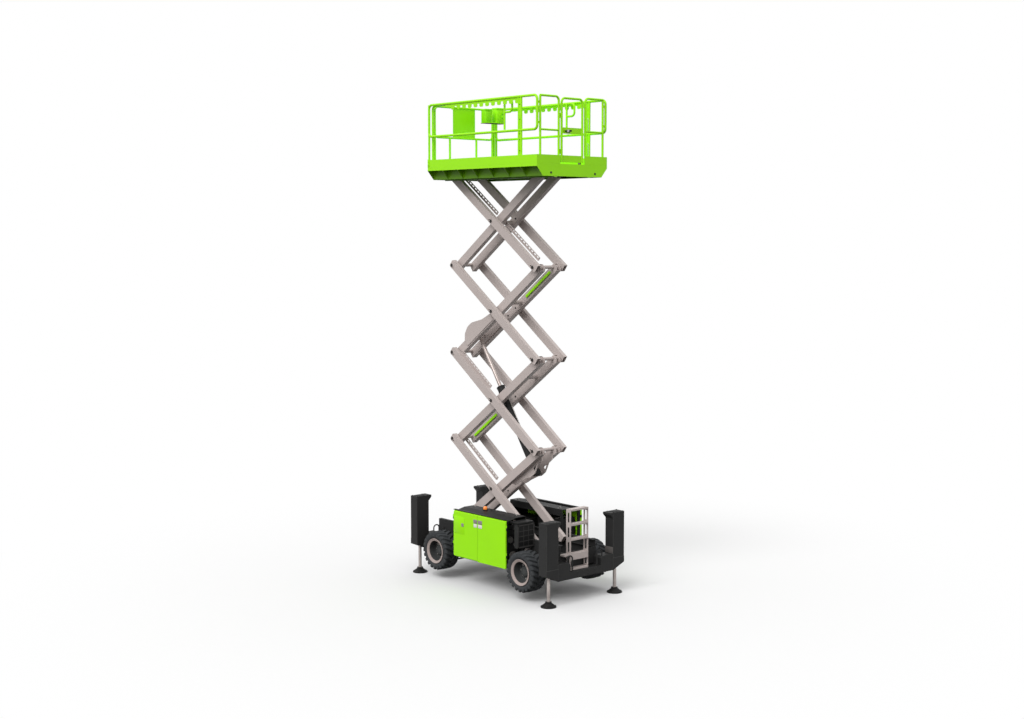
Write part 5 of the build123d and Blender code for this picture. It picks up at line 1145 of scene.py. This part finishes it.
control_low, control_high = box("platform_controls")
BOOT = ((0.024, 0), (0.021, 0.006), (0.022, 0.010), (0.016, 0.015), (0.016, 0.018), (0.009, 0.026))
STICK = ((0.006, 0.02), (0.006, 0.034), (0.012, 0.040), (0.013, 0.054), (0.010, 0.062), (0.006, 0.066))
SWITCH = ((0.008, 0), (0.008, 0.005), (0.003, 0.008), (0.0035, 0.018))
BUTTON = ((0.010, 0.0), (0.010, 0.010), (0.016, 0.013), (0.0175, 0.018), (0.014, 0.024), (0.007, 0.026))


def make_controls():
    """Two control boxes on a narrow shelf: softly rounded cases with lids, sloping panels, a
    joystick, switches and a stop button, all in lime apart from the shelf's lower lip."""
    middle = (control_low + control_high) / 2
    half = (control_high - control_low) / 2 * np.array([0.72, 0.76, 1.0])
    (x0, y0, _), (x1, y1, z1) = middle - half, middle + half
    shelf = control_low[2] + 0.020
    start, stop = y0, y0 + 0.185
    # the left box in the shaded lime: painted shade
    for label, y, z, coat in (("left", (y1 - 0.150, y1), z1 - 0.030, LIME_SHADE_COAT),
                              ("right", (start, stop), z1, LIME_COAT)):
        case = block((x0 + 0.006, y[0], shelf - 0.002), (x1, y[1], z - 0.018), 0.012, 3)
        lid = block((x0, y[0] - 0.003, z - 0.034), (x1 + 0.003, y[1] + 0.003, z), 0.010, 3)
        panel = block((x0 + 0.001, y[0] + 0.018, shelf + 0.03), (x0 + 0.008, y[1] - 0.018, z - 0.05), 0.003)
        made = piece(f"control_box_{label}", "extension", "lime_paint", coat, case, lid, panel)
        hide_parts("platform_controls")
    board = block((x0, y0, shelf - 0.014), (x1, y1, shelf), 0.003)
    bracket = block((x1 - 0.02, control_low[1], shelf - 0.014), (x1, y0 + 0.02, shelf), 0.003)
    lip = block((x0 - 0.004, y0 - 0.002, shelf - 0.020), (x1, y1 + 0.002, shelf - 0.012), 0.003)
    piece("control_shelf", "extension", "lime_paint", LIME_COAT, board, bracket)
    piece("control_lip", "extension", "black_paint", BLACK_PLASTIC, lip)
    x, y = x0 + 0.001, start + 0.055
    switches = [turned(SWITCH, (x, place, shelf + 0.07), (-1, 0, 0.2), 14)
                for place in np.linspace(start + 0.105, stop - 0.035, 2)]
    piece("control_grips", "extension", "black_paint", LIME_SHADE_COAT,
          turned(BOOT, (x, y, shelf + 0.10), -ALONG, 24),
          turned(STICK, (x, y, shelf + 0.10), (-1, 0, 0.25), 24), *switches,
          turned(BUTTON, (x, y, shelf + 0.17), -ALONG, 28))


make_controls()

# ================================================================ floor, light and camera
FLOOR_HALF = 60.0
FADE = (4.5, 10.0)             # radii between which the floor runs into the background
FLOOR_SEEN = 0.72              # share of the light that it gives back to the eye
FLOOR_BOUNCE = 0.05            # and to the machine's undersides


def make_floor():
    """Pale floor: plain matt near the machine, running into the white background further out, and
    white where only the camera or a reflection looks at it."""
    corners = [(-FLOOR_HALF, -FLOOR_HALF, 0), (FLOOR_HALF, -FLOOR_HALF, 0), (FLOOR_HALF, FLOOR_HALF, 0),
               (-FLOOR_HALF, FLOOR_HALF, 0)]
    mesh = bpy.data.meshes.new("floor")
    mesh.from_pydata(corners, [], [(0, 1, 2, 3)])
    material = bpy.data.materials.new("floor_paper")
    material.use_nodes = True
    tree = Tree(material.node_tree)
    nodes = material.node_tree.nodes
    nodes.remove(nodes["Principled BSDF"])
    place = tree.add("ShaderNodeTexCoord").outputs["Object"]
    distance = tree.add("ShaderNodeVectorMath", {0: place}, operation="LENGTH").outputs["Value"]
    far = tree.add("ShaderNodeMapRange", {0: distance, 1: FADE[0], 2: FADE[1], 3: 0.0, 4: 1.0},
                   interpolation_type="SMOOTHSTEP").outputs[0]
    seen = seen_directly(tree)
    matt = tree.add("ShaderNodeBsdfDiffuse", {"Color": (*[FLOOR_SEEN] * 3, 1)}).outputs[0]
    dull = tree.add("ShaderNodeBsdfDiffuse", {"Color": (*[FLOOR_BOUNCE] * 3, 1)}).outputs[0]
    white = tree.add("ShaderNodeEmission", {"Color": (1, 1, 1, 1), "Strength": 1.0}).outputs[0]
    near = tree.add("ShaderNodeMixShader", {0: seen, 1: dull, 2: matt})
    mixed = tree.add("ShaderNodeMixShader", {0: tree.times(far, seen), 1: near.outputs[0], 2: white})
    tree.tree.links.new(mixed.outputs[0], nodes["Material Output"].inputs[0])
    mesh.materials.append(material)
    put("floor", mesh)


def seen_directly(tree):
    """1 for camera, glossy and transmission rays."""
    path = tree.add("ShaderNodeLightPath").outputs
    either = tree.maths("MAXIMUM", path["Is Camera Ray"], path["Is Glossy Ray"])
    return tree.maths("MAXIMUM", either, path["Is Transmission Ray"])


WORLD_STRENGTH = 0.92


def make_world():
    """Even pale light from all round, and a white background where it is looked at."""
    world = bpy.data.worlds.new("studio")
    bpy.context.scene.world = world
    world.use_nodes = True
    tree = Tree(world.node_tree)
    nodes = world.node_tree.nodes
    light = nodes["Background"]
    light.inputs["Color"].default_value = (1, 1, 1, 1)
    light.inputs["Strength"].default_value = WORLD_STRENGTH
    white = tree.add("ShaderNodeBackground", {"Color": (1, 1, 1, 1), "Strength": 1.0}).outputs[0]
    mixed = tree.add("ShaderNodeMixShader", {0: seen_directly(tree), 1: light.outputs[0], 2: white})
    tree.tree.links.new(mixed.outputs[0], nodes["World Output"].inputs[0])


KEY_STRENGTH = 2.1
KEY_FROM = Vector((-0.20, 0.70, 0.70))
KEY_SPREAD = 38.0              # degrees, so that shadows have soft edges


def make_key():
    """One broad lamp, high on the machine's left."""
    lamp = bpy.data.lights.new("key", "SUN")
    lamp.energy = KEY_STRENGTH
    lamp.angle = math.radians(KEY_SPREAD)
    put("key", lamp).rotation_euler = KEY_FROM.to_track_quat("Z", "Y").to_euler()


CAMERA_AT = Vector((-19.190, 17.166, 6.169))
CAMERA_LOOKS = Vector((0.7436, -0.6629, -0.0867))
CAMERA_LENS = 52.255


def make_camera():
    """Long view from the left rear, at about two thirds of the raised platform's height."""
    data = bpy.data.cameras.new("camera")
    data.lens = CAMERA_LENS
    data.sensor_width = 36.0
    data.clip_end = 300.0
    camera = put("camera", data)
    camera.location = CAMERA_AT
    camera.rotation_euler = CAMERA_LOOKS.to_track_quat("-Z", "Y").to_euler()
    bpy.context.scene.camera = camera


make_floor()
make_world()
make_key()
make_camera()
bpy.context.scene.view_settings.view_transform = "Standard"
